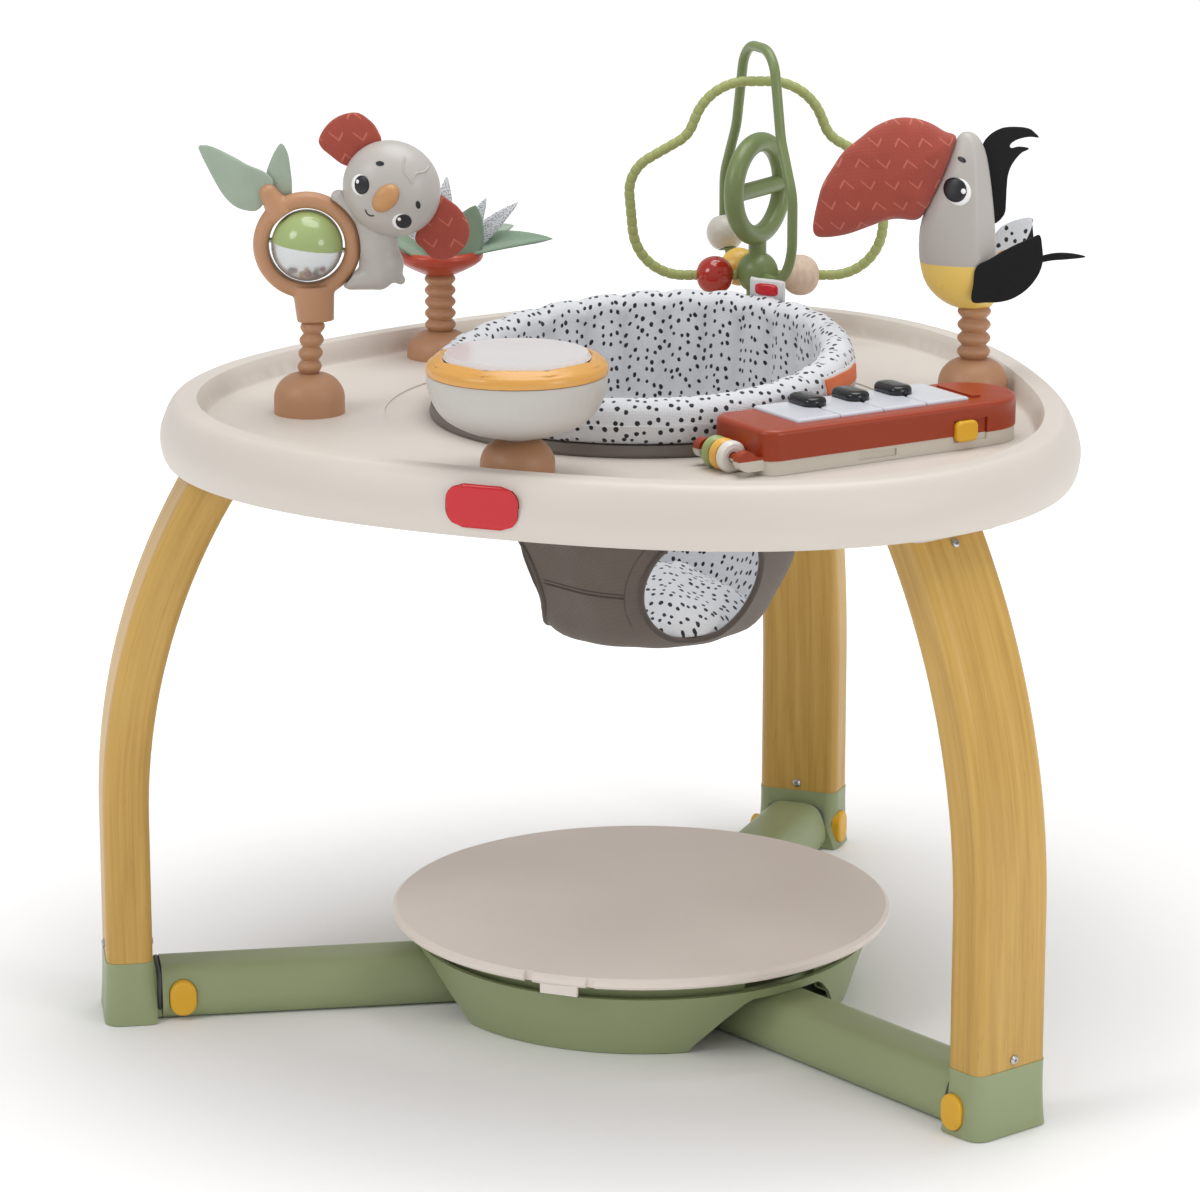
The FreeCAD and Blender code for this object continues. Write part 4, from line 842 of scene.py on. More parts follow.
def sewn(name, outline, half_thick, shift, where, material, hub=None):
    """Closed two-sided piece cut to a smooth outline that swells round its hub.

    half_thick(x, z, share) is its half thickness, share being 0 at the hub and 1 at the outline,
    and shift(x, z) is how far its middle stands from the plane y = 0.
    """
    loop = smooth(outline, 5, True)
    if hub is None:
        hub = (sum(x for x, _ in loop) / len(loop), sum(z for _, z in loop) / len(loop))
    shares = (0.22, 0.40, 0.56, 0.70, 0.82, 0.91, 0.97, 1.0)
    points, uv = [], []
    for side, order in ((-1, shares), (1, shares[::-1])):
        for share in order:
            for edge_x, edge_z in loop:
                x = hub[0] + (edge_x - hub[0]) * share
                z = hub[1] + (edge_z - hub[1]) * share
                points.append((x, shift(x, z) + side * half_thick(x, z, share), z))
                uv.append((x * MM, z * MM))
    count = len(loop)
    rows = 2 * len(shares)
    faces = grid_faces(rows, count, False, True)
    for side, row in ((-1, 0), (1, rows - 1)):
        points.append((hub[0], shift(*hub) + side * half_thick(*hub, 0.0), hub[1]))
        uv.append((hub[0] * MM, hub[1] * MM))
        middle = len(points) - 1
        faces += [(middle, row * count + j, row * count + (j + 1) % count) for j in range(count)]
    return build(name, points, faces, where, material, uv)


def stuffed(name, outline, height, shift, where, material, swell, hub=None):
    """A stuffed cloth shape, thin at its seam and swollen by simulation.

    height(x, z) is its half thickness, and swell in mm is as far as the simulation may move it.
    """
    seam = 0.8

    def half_thick(x, z, share):
        wrinkle = 1 + 0.14 * noise.noise(Vector((x, z, 7)) * 0.08)
        return seam + (height(x, z) - seam) * math.sqrt(max(0.0, 1 - share ** 2.4)) * wrinkle

    obj = sewn(name, outline, half_thick, shift, where, material, hub)
    inflate(obj, 3.0, swell * MM)
    return subdivide(obj)


def felted(name, outline, thickness, shift, where, material):
    """A flat cut piece of felt or cloth, curved by shift(x, z)."""
    return sewn(name, outline, lambda x, z, share: thickness / 2 * (1 - 0.4 * share ** 12), shift,
                where, material)


def leaf(name, base, tip, half_width, where, material, facing, bow):
    """A pointed two-layer cloth leaf from base to tip, folded along its rib."""
    fold, thick = 0.3, 2.2
    base, tip = Vector(base), Vector(tip)
    along = (tip - base).normalized()
    out = Vector(facing)
    out = (out - along * out.dot(along)).normalized()
    across = along.cross(out)
    length = (tip - base).length
    rows, half = 20, 5
    points, uv = [], []
    for i in range(rows):
        s = i / (rows - 1)
        width = half_width * (math.sin(math.pi * min(1.0, 0.16 + 0.84 * s) ** 0.8) ** 0.75 + 0.02)
        ring = [(k / half, 1) for k in range(-half, half + 1)]
        ring += [(k / half, -1) for k in range(half - 1, -half, -1)]
        for t, side in ring:
            skin = thick * side * math.sqrt(max(0.0, 1 - t * t)) * min(1.0, 6 * (1 - s) + 0.15)
            sag = bow * math.sin(math.pi * s) + fold * width * abs(t)
            points.append(base + along * (length * s) + across * (width * t) + out * (skin + sag))
            uv.append(((width * t) * MM, length * s * MM))
    return build(name, points, capped(rows, 4 * half), where, material, uv)


# ---------------------------------------------------------------- seat
FRONT_TOP, BACK_TOP, HIGH_AT = 510.0, 538.0, 78.0


def quilted(degrees):
    """How strongly the inner wall is quilted at a bearing: 1 at the back, 0 at the front."""
    turn = abs((degrees - 90 + 180) % 360 - 180)
    return clamp((122 - turn) / 14)


def make_padding():
    """Padded ring of the seat: outer wall, fat rolled top and quilted inner wall."""
    columns, channels, cloth_radius = 216, 27, 0.150
    points, uv, pinned = [], [], []
    for j in range(columns):
        degrees = 360 * j / columns
        angle = math.radians(degrees)
        seam = abs(math.sin(math.pi * (degrees - 90) / (360 / channels)))
        quilt = quilted(degrees)
        rise = 0.5 + 0.5 * math.cos(angle - math.radians(HIGH_AT))
        top = FRONT_TOP + (BACK_TOP - FRONT_TOP) * rise ** 1.5
        back = 0.5 + 0.5 * math.sin(angle)
        roll = 14.5 - 3.0 * back
        centre = 149.0 + 2.0 * back
        pull = quilt * (1 - seam ** 0.55)
        crest = top - roll - 3.0 * pull
        section = [(160.5, 478.0), (164.0, 484.0), (165.5, 492.0), (165.0, crest - 3)]
        for k in range(7):
            turn = math.pi * k / 6
            section.append((centre + (roll + 1.0) * math.cos(turn), crest + roll * math.sin(turn)))
        inner = centre - roll - 1.0
        deep = 7.0 * pull
        section += [(inner - 1.0 + deep * 0.5, crest - 8), (inner - 2.5 + deep, crest - 18),
                    (inner - 3.5 + deep, 484.0), (inner - 4.0 + deep, 470.0), (inner - 4.5 + deep, 456.0),
                    (inner - 7.0 + deep * 0.6, 444.0), (inner - 11.0, 434.0)]
        fine = through([(r, 0, z) for r, z in section], 3, False)
        under = ((133.0, 437.0), (141.0, 452.0), (145.0, 464.0), (149.0, 476.5), (155.0, 477.8))
        fine += [Vector((r, 0, z)) for r, z in under]
        section_count = len(fine)
        run = 0.0
        for k, spot in enumerate(fine):
            if k:
                run += (spot - fine[k - 1]).length
            points.append((spot.x * math.cos(angle), spot.x * math.sin(angle), spot.z))
            uv.append((angle * cloth_radius, run * MM))
            low = k < 2 or k > section_count - 8
            stitched = quilt > 0.5 and seam < 0.12 and 24 < k < section_count - 8
            if low or stitched:
                pinned.append(j * section_count + k)
    faces = grid_faces(columns, section_count, True, True)
    obj = build("seat_padding", points, faces, WHOLE, M["dotted"], uv, TURN * cloth_radius)
    inflate(obj, 2.5, 0.0035, pinned)
    subdivide(obj)
    wear(obj, "seat", "seat_cushion")
    return surface_of(obj)


POUCH = [(148.5, 474.0), (147.0, 462.0), (141.5, 449.0), (132.0, 436.0), (124.5, 422.0), (119.5, 405.0),
         (117.0, 385.0), (113.0, 365.0), (106.0, 345.0), (97.0, 325.0), (86.0, 308.0), (72.0, 297.5),
         (45.0, 292.0), (20.0, 290.6), (0.5, 290.4)]
LEG_HOLES = (-45.5, -150.0)
HOLE_Z, HOLE_HALF_WIDE, HOLE_HALF_HIGH = 354.0, 51.0, 50.0
HANG_TO = polar(1, TOY_TURN) * 7.0
SKIRT_Z = 309.0
POUCH_CLOTH = 0.110


def pouch_radius(z):
    """Outer radius of the pouch at a height, from its profile."""
    for (ra, za), (rb, zb) in zip(POUCH, POUCH[1:]):
        if zb <= z <= za:
            return rb + (ra - rb) * (z - zb) / (za - zb)
    return POUCH[-1][0]


def slack(degrees, z):
    """Outward sag of the pouch's cloth, in mm."""
    low = clamp((440 - z) / 60)
    angle = math.radians(degrees)
    folds = 1.2 * math.sin(5 * angle + z * 0.02) + 0.9 * math.sin(11 * angle + 0.7)
    wander = 3.4 * noise.noise(Vector((math.cos(angle) * 2.3, math.sin(angle) * 2.3, z * 0.028)))
    return low * (folds + wander)


def hang(z):
    """Sideways shift of the slack pouch at a height."""
    return HANG_TO * clamp((455 - z) / 45)


def pouch_point(degrees, z, inset):
    """The point of the pouch's outside at a bearing and height, moved inwards by inset."""
    r = pouch_radius(z)
    r += slack(degrees, z) * min(1.0, r / 60) - inset
    return polar(r, degrees, z) + hang(z)


def pouch_skin(name, inset, thickness, material, hole_grow):
    """One closed layer of the pouch, with its two leg holes cut out."""
    columns = 144
    profile = through([(r, 0, z) for r, z in POUCH], 3, False)
    points = []
    for side in (inset, inset + thickness):
        for spot in profile if side == inset else reversed(profile):
            for j in range(columns):
                degrees = 360 * j / columns
                sag = slack(degrees, spot.z) * min(1.0, spot.x / 60)
                r = max(0.4, spot.x - side * min(1.0, spot.x / 40) + sag)
                z = spot.z + side * max(0.0, 1 - spot.x / 90)
                points.append(polar(r, degrees, z) + hang(spot.z))
    rows = 2 * len(profile)
    faces = grid_faces(rows, columns, True, True)
    obj = build(name, points, faces, WHOLE, material)
    for turn in LEG_HOLES:
        out = polar(1, turn)
        cutter_mesh = bmesh.new()
        size = ((HOLE_HALF_HIGH + hole_grow) * MM, (HOLE_HALF_WIDE + hole_grow) * MM, 1, 1)
        place = (Matrix.Translation((out * 95 + Vector((0, 0, HOLE_Z)) + hang(HOLE_Z)) * MM)
                 @ out.to_track_quat("Z", "Y").to_matrix().to_4x4() @ Matrix.Diagonal(size))
        bmesh.ops.create_cone(cutter_mesh, cap_ends=True, segments=64, radius1=1, radius2=1, depth=0.13,
                              matrix=place)
        mesh = bpy.data.meshes.new("cutter")
        cutter_mesh.to_mesh(mesh)
        cutter_mesh.free()
        cutter = bpy.data.objects.new("cutter", mesh)
        scene.collection.objects.link(cutter)
        cut = obj.modifiers.new("Cut", "BOOLEAN")
        cut.operation = "DIFFERENCE"
        cut.solver = "EXACT"
        cut.object = cutter
        settle(obj)
        bpy.data.objects.remove(cutter)
    obj.data.polygons.foreach_set("use_smooth", [True] * len(obj.data.polygons))
    uv = [(math.atan2(v.co.x, -v.co.y) * POUCH_CLOTH, v.co.z * 1.05) for v in obj.data.vertices]
    set_uv(obj, uv, TURN * POUCH_CLOTH)
    return obj


def hole_rim(turn, grow, inset, first=0, last=72):
    """Points round a leg hole's edge on the pouch."""
    points = []
    for j in range(first, last):
        angle = TURN * j / 72
        across = (HOLE_HALF_WIDE + grow) * math.cos(angle)
        z = HOLE_Z + (HOLE_HALF_HIGH + grow) * math.sin(angle)
        sideways = math.degrees(math.asin(max(-0.99, min(0.99, across / pouch_radius(z)))))
        points.append(pouch_point(turn + sideways, z, inset))
    return points


def make_pouch():
    """Hanging seat: shell, dotted lining, piped leg holes, base panel and front seam."""
    shell = pouch_skin("seat_pouch_shell", 0.0, 2.2, M["pouch"], 0.0)
    wear(shell, "seat", "seat_pouch")
    lining = pouch_skin("seat_pouch_lining", 3.0, 1.6, M["dotted"], -1.5)
    wear(lining, "seat")
    for name, turn in zip(("right", "left"), LEG_HOLES):
        rim = hole_rim(turn, 0.0, 0.6)
        wear(tube("leg_hole_piping_" + name, rim, 2.6, WHOLE, M["piping"], 10, True), "seat")
        stitches = hole_rim(turn, 11.0, 0.3, 22, 46)
        wear(tube("leg_hole_seam_" + name, stitches, 0.8, WHOLE, M["piping"], 6), "seat")

    columns, rings = 72, 16
    points, uv = [], []
    for side in (0, 1):
        for i in range(rings):
            share = (i + 0.02) / (rings - 1 + 0.02)
            share = share if side == 0 else 1 - share + 0.001
            for j in range(columns):
                angle = TURN * j / columns
                r = (pouch_radius(SKIRT_Z) + slack(math.degrees(angle), SKIRT_Z) - 5.4) * share
                x, y = r * math.cos(angle), r * math.sin(angle)
                fold = 6.0 * noise.noise(Vector((x, y, 3)) * 0.035) + 2.4 * math.sin(angle * 7) * share
                crown = 34.0 * math.cos(math.pi / 2 * share) ** 0.7 + fold * (1 - share ** 4)
                z = SKIRT_Z + crown - side * 2.0
                points.append(Vector((x, y, z)) + hang(z))
                uv.append((x * MM, y * MM * 1.2))
    faces = grid_faces(2 * rings, columns, True, True)
    base = build("seat_base_panel", points, faces, WHOLE, M["dotted"], uv)
    wear(base, "seat")

    for name, rise, radius in (("upper", 1.6, 0.7), ("lower", -1.6, 1.0)):
        seam = [pouch_point(-119 + 38 * k / 24, 350.0 - 0.18 * k + rise, -0.1) for k in range(25)]
        wear(tube("pouch_seam_" + name, seam, radius, WHOLE, M["piping"], 8), "seat")


def curved_patch(name, material, radius, middle, half_angle, low, high, thick, corner=0.0):
    """A thin patch on a round wall between two heights, with rounded corners."""
    columns, rows = 40, 12
    points, uv = [], []
    for side in (0, 1):
        for i in range(rows) if side == 0 else reversed(range(rows)):
            share = i / (rows - 1)
            z = low + (high - low) * share
            pinch = max(0.0, 2 * abs(share - 0.5) - 1 + corner) / corner if corner else 0.0
            reach = half_angle * (1 - corner * 0.6 * (1 - math.sqrt(max(0.0, 1 - pinch ** 2))))
            for j in range(columns):
                t = 2 * j / (columns - 1) - 1
                degrees = middle + reach * t
                r = radius(degrees, z) + (thick if side == 0 else -0.6)
                points.append(polar(r, degrees, z))
                uv.append((degrees * 0.0026, z * MM))
    faces = grid_faces(2 * rows, columns, True, False)
    ends = [tuple(i * columns for i in range(2 * rows)),
            tuple(i * columns + columns - 1 for i in range(2 * rows))]
    return build(name, points, faces + ends, WHOLE, material, uv)


def make_labels(padding):
    """Side label and back tag of the seat, laid on the padding's outer wall."""
    def wall(degrees, z):
        out = polar(1, degrees)
        spot = padding.ray_cast((out * 200 + Vector((0, 0, z))) * MM, -out)[0]
        return spot.xy.length / MM

    for name, look, reach, low, high, thick in (
            ("side_label_border", "label_white", 13.0, 498.0, 514.0, 0.8),
            ("side_label", "label_orange", 12.2, 500.0, 512.0, 1.3)):
        label = curved_patch(name, M[look], wall, 0.0, reach, low, high, thick)
        wear(label, "seat")
    out = polar(1, 69)
    side = Vector((-out.y, out.x, 0))
    base = out * 151 + Vector((0, 0, 534.5))
    points, uv = [], []
    loop = [(-1.2, 0), (-1.5, 8), (-1.3, 15), (0, 17.0), (1.3, 15), (1.5, 8), (1.2, 0)]
    rows, half_wide, curl_size = 13, 17, 1.5
    for i in range(rows):
        across = -half_wide + 2 * half_wide * i / (rows - 1)
        curl = curl_size * math.sin(i * 0.5)
        for depth, up in loop:
            points.append(base + side * across + out * (depth + curl) + Vector((0, 0, up)))
            uv.append((across * MM, up * MM))
    label = build("back_label", points, capped(rows, len(loop)), WHOLE, M["label_white"], uv)
    wear(label, "seat")
    centre = base + Vector((0, 0, 8.5)) - out * 1.1
    points, sides = [centre + out * (curl_size * math.sin(3.0) - 0.9)], 32
    for ring, push in ((0.5, 0.9), (1.0, 0.8), (1.03, -0.4)):
        for j in range(sides):
            a = TURN * j / sides
            wide = 10.5 * math.copysign(abs(math.cos(a)) ** 0.6, math.cos(a)) * ring
            high = 4.8 * math.copysign(abs(math.sin(a)) ** 0.6, math.sin(a)) * ring
            curl = curl_size * math.sin((wide + half_wide) / (2 * half_wide) * (rows - 1) * 0.5)
            points.append(centre + side * wide + Vector((0, 0, high)) + out * (curl - push))
    wear(build("back_label_patch", points, fanned(3, sides), WHOLE, M["badge"]), "seat")


# ---------------------------------------------------------------- tray badge and arm collars
def tray_radius(degrees, _):
    """Radius of the tray's rounded three-sided outline."""
    angle = math.radians(degrees - 90)
    return 350.1 + 22.8 * math.cos(3 * angle)


def make_badge():
    """Plain red plate on the front of the tray's rim."""
    badge = curved_patch("front_badge", M["badge"], tray_radius, -90.0, 4.9, 449.5, 481.5, 1.5, 0.8)
    wear(badge, "frame")


def rounded_rectangle(half_wide, half_high, corner):
    """Pairs round a rounded rectangle about the origin, seven to a corner."""
    pairs = []
    for u, v, start in ((1, 1, 0), (-1, 1, 90), (-1, -1, 180), (1, -1, 270)):
        for step in range(7):
            spot = polar(corner, start + 15 * step)
            pairs.append((u * (half_wide - corner) + spot.x, v * (half_high - corner) + spot.y))
    return pairs


def make_collars():
    """Dark seals where the arms enter the feet, drawn along x."""
    sections = (  # distance out, half width, half height, middle height, corner radius
        (384.3, 25.0, 17.2, 19.8, 12), (384.4, 26.8, 18.6, 20.2, 13), (386.2, 27.4, 19.1, 20.3, 13),
        (388.1, 26.8, 18.6, 20.2, 13), (388.2, 25.0, 17.2, 19.8, 12))
    points = [(x, y, middle + z) for x, half_wide, half_high, middle, corner in sections
              for y, z in rounded_rectangle(half_wide, half_high, corner)]
    faces = grid_faces(len(sections), 28, False, True)
    for side, bearing in (("back", 90), ("left", 210), ("right", 330)):
        obj = build("arm_collar_" + side, points, faces, turned(bearing) @ WHOLE, M["collar"])
        wear(obj, "frame")


def make_springs():
    """Three compression springs in the hub, which the footboard presses down; they are drawn at one fixed
    length.
    """
    low, high = (corner.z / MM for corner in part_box("footboard_springs"))
    wire, coil, ring, travel, turns = 1.5, 13.0, 100.0, 12.0, 7
    steps = 28 * turns
    for number, bearing in enumerate((30, 150, 270), 1):
        foot = polar(ring, bearing)
        path = []
        for k in range(steps + 1):
            share = k / steps
            rise = (0.84 * clamp((share - 0.1) / 0.8) + 0.08 * min(1.0, share / 0.1)
                    + 0.08 * max(0.0, (share - 0.9) / 0.1))
            angle = TURN * turns * share
            z = low + wire + (high - low - 2 * wire) * rise
            path.append(foot + Vector((coil * math.cos(angle), coil * math.sin(angle), z)))
        spring = tube("bounce_spring_%d" % number, path, wire, WHOLE, M["spring"], 8)
        wear(spring, "frame", "footboard_springs" if number == 1 else None)
        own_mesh(spring)


# ---------------------------------------------------------------- toys
def ribbed_stem(name, node, body, low, high, valley, bulge, count, where):
    """Rubber stem with rounded ribs."""
    pitch = (high - low) / count
    shoulder = valley + (bulge - valley) * 0.75
    profile = [(valley * 0.96, low)]
    for i in range(count):
        start = low + pitch * i
        profile += [(r, start + pitch * share) for r, share in (
            (valley, 0.04), (shoulder, 0.30), (bulge, 0.46), (bulge, 0.58), (shoulder, 0.74),
            (valley, 0.98))]
    wear(lathe(name, smooth(profile), where, M["tan"], 48), body, node)


def clear_of_ring(obj, ring_z, radius):
    """Push a toy's points that lie within a radius of its ring's axis out to that radius."""
    for vertex in obj.data.vertices:
        x, z = vertex.co.x, vertex.co.z - ring_z
        far = max(math.hypot(x, z), 1e-6)
        if far < radius:
            vertex.co.x, vertex.co.z = x * radius / far, ring_z + z * radius / far


def mark(tree, where, body, marks):
    """Printed ovals: name, centre, radii, spin, look, lift and dome of each."""
    for name, centre, radii, spin, look, lift, dome in marks:
        wear(printed(name, tree, centre, radii, spin, where, M[look], lift, dome), body)


def make_koala():
    """Koala on a branch ring that holds the rattle."""
    lean = Matrix.Identity(4)
    lean[0][2], lean[0][3] = 0.09, -0.09 * 500
    ribbed_stem("koala_ribs", "koala_stem", "koala", 500.3, 542, 6.8, 9.4, 4, KOALA @ lean)
    ring_z = 600.6
    upright = Matrix.Translation((0, 0, ring_z)) @ turned(90, "X")

    def ring_fill(rough):
        band = [(29.4, -5.5), (31.0, -7.2), (35.5, -8.0), (39.0, -6.6), (41.2, -3.2), (41.6, 0),
                (41.2, 3.2), (39.0, 6.6), (35.5, 8.0), (31.0, 7.2), (29.4, 5.5), (29.2, 0)]
        turned_into(rough, band, upright)
        place = (Matrix.Translation((5, 0, 555.5)) @ turned(-3, "Y")
                 @ Matrix.Diagonal((1, 0.8, 1, 1)))
        bmesh.ops.create_cone(rough, cap_ends=True, segments=40, radius1=14.2, radius2=16.4, depth=28.0,
                              matrix=place)
        rod(rough, (-20, 0, 626), (-29, 0, 641), 10.5, 7.2)

    ring = remeshed("koala_ring", ring_fill, 1.1, 3, M["tan"])
    clear_of_ring(ring, ring_z, 29.2)
    wear(put(ring, KOALA), "koala", "branch_ring")

    def body_fill(rough):
        ball(rough, (53, 0, 606), (17, 15, 30), -10)
        ball(rough, (57, 0, 586), (17.5, 16.5, 17), 10)
        ball(rough, (54, 0, 622), (15, 13, 14))
        rod(rough, (25, -3, 638), (50, -3, 620), 6.5, 10.5)
        rod(rough, (33, -5, 573), (55, -5, 578), 6.5, 11.5)
        ball(rough, (71.5, 0, 573.5), (4.2, 4.2, 4.2))

    body = remeshed("koala_torso", body_fill, 1.5, 10, M["grey"])
    clear_of_ring(body, ring_z, 41.5)
    wear(put(body, KOALA), "koala", "koala_body")

    head = remeshed("koala_head", lambda rough: ball(rough, (65.7, -4, 645), (38.5, 29.5, 36.5), 40),
                    1.8, 4, M["grey"])
    tree = surface_of(head)
    wear(put(head, KOALA), "koala")
    mark(tree, KOALA, "koala", [
        ("koala_white_high", (42.6, 651.6), (6.6, 8.0), -8, "white_ink", 0.2, 0.2),
        ("koala_white_low", (73.6, 623.4), (6.8, 6.8), 10, "white_ink", 0.2, 0.2),
        ("koala_eye_high", (44.2, 651.8), (5.6, 7.2), -8, "black_ink", 0.4, 0.4),
        ("koala_eye_low", (75.4, 623.8), (6.0, 6.0), 10, "black_ink", 0.4, 0.4),
        # The glints are painted highlights: small white dots standing for the lamps' reflections in the
        # eyes.
        ("koala_glint_high", (41.2, 654.0), (1.1, 1.4), 0, "white_ink", 1.0, 0.2),
        ("koala_glint_low", (72.2, 626.2), (1.2, 1.3), 0, "white_ink", 1.0, 0.2),
        ("koala_nose", (62.3, 642.4), (12.6, 8.6), 50, "nose", 0.4, 5.0),
        ("koala_brow_high", (58.0, 668.0), (3.2, 1.7), 0, "black_ink", 0.3, 0.1),
        ("koala_brow_low", (86.6, 636.6), (1.7, 3.2), 10, "black_ink", 0.3, 0.1)])
    smile = [(46.6, 632.8), (47.6, 630.0), (50.2, 628.2), (53.0, 628.4)]
    tuft = [(76.6, 672.0), (75.6, 664.0), (80.5, 656.5), (82.0, 653.0)]
    curl = [(82.0, 653.0), (85.0, 660.0), (92.5, 661.5), (97.0, 668.0)]
    for name, path, radius, look, lift in (("koala_smile", smile, 0.55, "black_ink", 0.2),
                                           ("koala_tuft", tuft, 1.0, "grey", -0.2),
                                           ("koala_curl", curl, 1.0, "grey", -0.2)):
        wear(stroke(name, tree, path, radius, KOALA, M[look], lift), "koala")

    ear_high = [(27.6, 663), (18.4, 670), (12, 675.7), (10.1, 682), (14.7, 691), (22.1, 698), (31.3, 702),
                (40.5, 702.5), (47.9, 698), (54, 691.5), (58, 680), (48, 672), (36, 662)]
    ear_low = [(100, 640), (110, 634.5), (117, 629), (123.4, 618.7), (124.9, 609), (121.5, 599.6),
               (114, 592), (105, 588.6), (95.8, 590), (89.3, 597), (83, 604), (86, 616), (92, 628)]
    for name, outline, node in (("koala_ear_high", ear_high, "koala_ears"),
                                ("koala_ear_low", ear_low, None)):
        ear = stuffed(name, outline, lambda x, z: 3.8, lambda x, z: 2.0, KOALA, M["rust_cloth"], 1.2)
        wear(ear, "koala", node)

    long_leaf = [(-81, 678), (-72, 677.5), (-55, 669.5), (-44, 663.5), (-31, 657), (-25, 650), (-28, 640),
                 (-36.8, 628), (-46, 627.5), (-55, 631), (-63, 639), (-69, 649), (-75.5, 662), (-80.5, 673)]
    short_leaf = [(-18.5, 678.5), (-14.0, 671), (-12.0, 658), (-11.0, 645), (-12.5, 638), (-22, 637),
                  (-29, 648), (-30.5, 656), (-27, 666), (-23, 674)]
    for name, outline, y, node in (("branch_leaf_long", long_leaf, 0.5, "branch_leaves"),
                                   ("branch_leaf_short", short_leaf, 5.0, None)):
        piece = stuffed(name, outline, lambda x, z: 2.6, lambda x, z, y=y: y + 0.05 * (x + 30),
                        KOALA, M["sage"], 1.0)
        wear(piece, "koala", node)

    pellets = [(-10, 2, -20.6), (-4, -6, -21.6), (2, 0, -23.0), (7, -7, -20.6), (12, 1, -19.2),
               (-1, 7, -21.4), (7, 6, -21.2), (-12, -6, -18.4), (1, -9, -20.2)]
    looks = ["pellet_red", "bead_yellow", "rattle_green", "pellet_black"]
    for i, (x, y, z) in enumerate(pellets):
        low = [(0.02, z - 2.2), (1.4, z - 2.1), (2.3, z - 1.4),
               (2.3, z + 1.4), (1.4, z + 2.1), (0.02, z + 2.2)]
        pellet = lathe("rattle_pellet_%d" % (i + 1), [(r, h + ring_z) for r, h in smooth(low, 2)],
                       KOALA @ Matrix.Translation((x, y, 0)), M[looks[i % 4]], 16)
        wear(pellet, "rattle", "rattle_pellets" if i == 0 else None)


def make_flower():
    """Rust cup with nine cloth leaves."""
    ribbed_stem("flower_ribs", "flower_stem", "flower", 491.3, 538.6, 9.6, 12.6, 5, FLOWER)
    cup = [(0.5, 538.0), (11, 538.0), (18, 540.5), (27, 545.0), (33, 549.0), (35.3, 552.4),
           (35.0, 556.4), (32.2, 558.6), (29.0, 557.2), (26.0, 552.5), (16, 548.0), (0.5, 547.0)]
    fine = [(max(r, 0.4), z) for r, z in smooth(cup)]
    wear(lathe("flower_dish", fine, FLOWER, M["rust"], 64), "flower", "flower_cup")
    leaves = [("flower_leaf_right", (8, -2, 548), (92, -6, 562), 14, "leaf_green", (0, -0.5, 1), 3),
              ("flower_leaf_front", (14, -12, 546), (30, -20, 592), 16, "leaf_green", (0.1, -1, 0.2), -5),
              ("flower_leaf_left", (-8, -6, 544), (-52, -18, 570), 15, "leaf_green", (0, -0.6, 1), 3),
              ("flower_leaf_back", (-4, 8, 544), (-35, 14, 588), 13, "sage", (0, -1, 0.3), 4),
              ("flower_leaf_behind", (8, 12, 544), (60, 34, 566), 14, "sage", (0, -0.5, 1), 3),
              ("flower_speck_tall", (0, 6, 544), (6, 10, 611), 9, "speckled", (0, -1, 0.1), 3),
              ("flower_speck_mid", (14, 4, 544), (38, 4, 594), 8, "speckled", (0, -1, 0.2), 3),
              ("flower_speck_right", (16, 2, 546), (64, 0, 591), 8, "speckled", (-0.3, -1, 0.3), 3),
              ("flower_speck_left", (-10, -2, 545), (-30, -4, 575), 9, "speckled", (0, -1, 0.4), 3)]
    for i, (name, base, tip, half, look, facing, bow) in enumerate(leaves):
        where = FLOWER @ Matrix.Translation((0, 0, 6))
        piece = leaf(name, base, tip, half, where, M[look], facing, bow)
        wear(piece, "flower", "flower_leaves" if i == 0 else None)


def make_drum():
    """Off-white bowl and the yellow band with eight scallops round the clear head."""
    bowl = [(0.5, 497.5), (12, 497.8), (12.6, 502.6), (28, 504.2), (41, 508.5), (52, 514.8),
            (59.5, 523), (63.8, 533), (65.6, 542), (65.8, 547.6), (64.6, 548.4), (58.0, 547.5),
            (50, 520), (26, 508), (0.5, 507.5)]
    fine = [(max(r, 0.4), z) for r, z in smooth(bowl)]

    def relief(angle, r, z):
        band = max(0.0, 1 - abs(z - 537) / 5) * (1 if r > 60 else 0)
        return r + 0.5 * band * math.sin(36 * angle + 2.2 * math.sin(8 * angle)), z

    shell = lathe("drum_shell", fine, DRUM, M["bowl_white"], 288, False, relief)
    wear(shell, "frame", "drum_bowl")
    outline = [(58.0, 548.2), (64.4, 548.8), (66.1, 549.2), (66.3, 552.4), (65.2, 555.4), (62.8, 557.4),
               (60.4, 558.6), (58.4, 559.8), (56.6, 560.4), (55.0, 559.6), (54.6, 556.5), (56.0, 551)]

    def scallop(angle, r, z):
        swell = abs(math.cos(4 * angle)) ** 0.6
        if z > 555.5 and r < 62:
            return r - 2.4 * swell + 1.6, z + 0.9 * swell
        return r, z

    band = lathe("drum_band", smooth(outline, 3, True), DRUM, M["drum_yellow"], 192, True, scallop)
    wear(band, "frame", "drum_rim")


def make_beads():
    """Round beads bored along the outer wire."""
    bore = 2.8
    for name, half, radius in (("bead_red", 15.4, 15.9), ("bead_wood", 15.6, 16.9)):
        profile = []
        for k in range(25):
            turn = math.pi * (k / 24 - 0.5)
            profile.append((max(radius * math.cos(turn) ** 0.86, bore + 1.2), half * math.sin(turn)))
        low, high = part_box(name)
        centre = (low + high) / 2
        where = Matrix.Translation(centre) @ turned(TOY_TURN) @ turned(90, "Y") @ WHOLE
        profile = [(bore, -half * 0.985)] + profile + [(bore, half * 0.985)]
        wear(lathe(name + "_round", profile, where, M[name], 64, True), name, name)


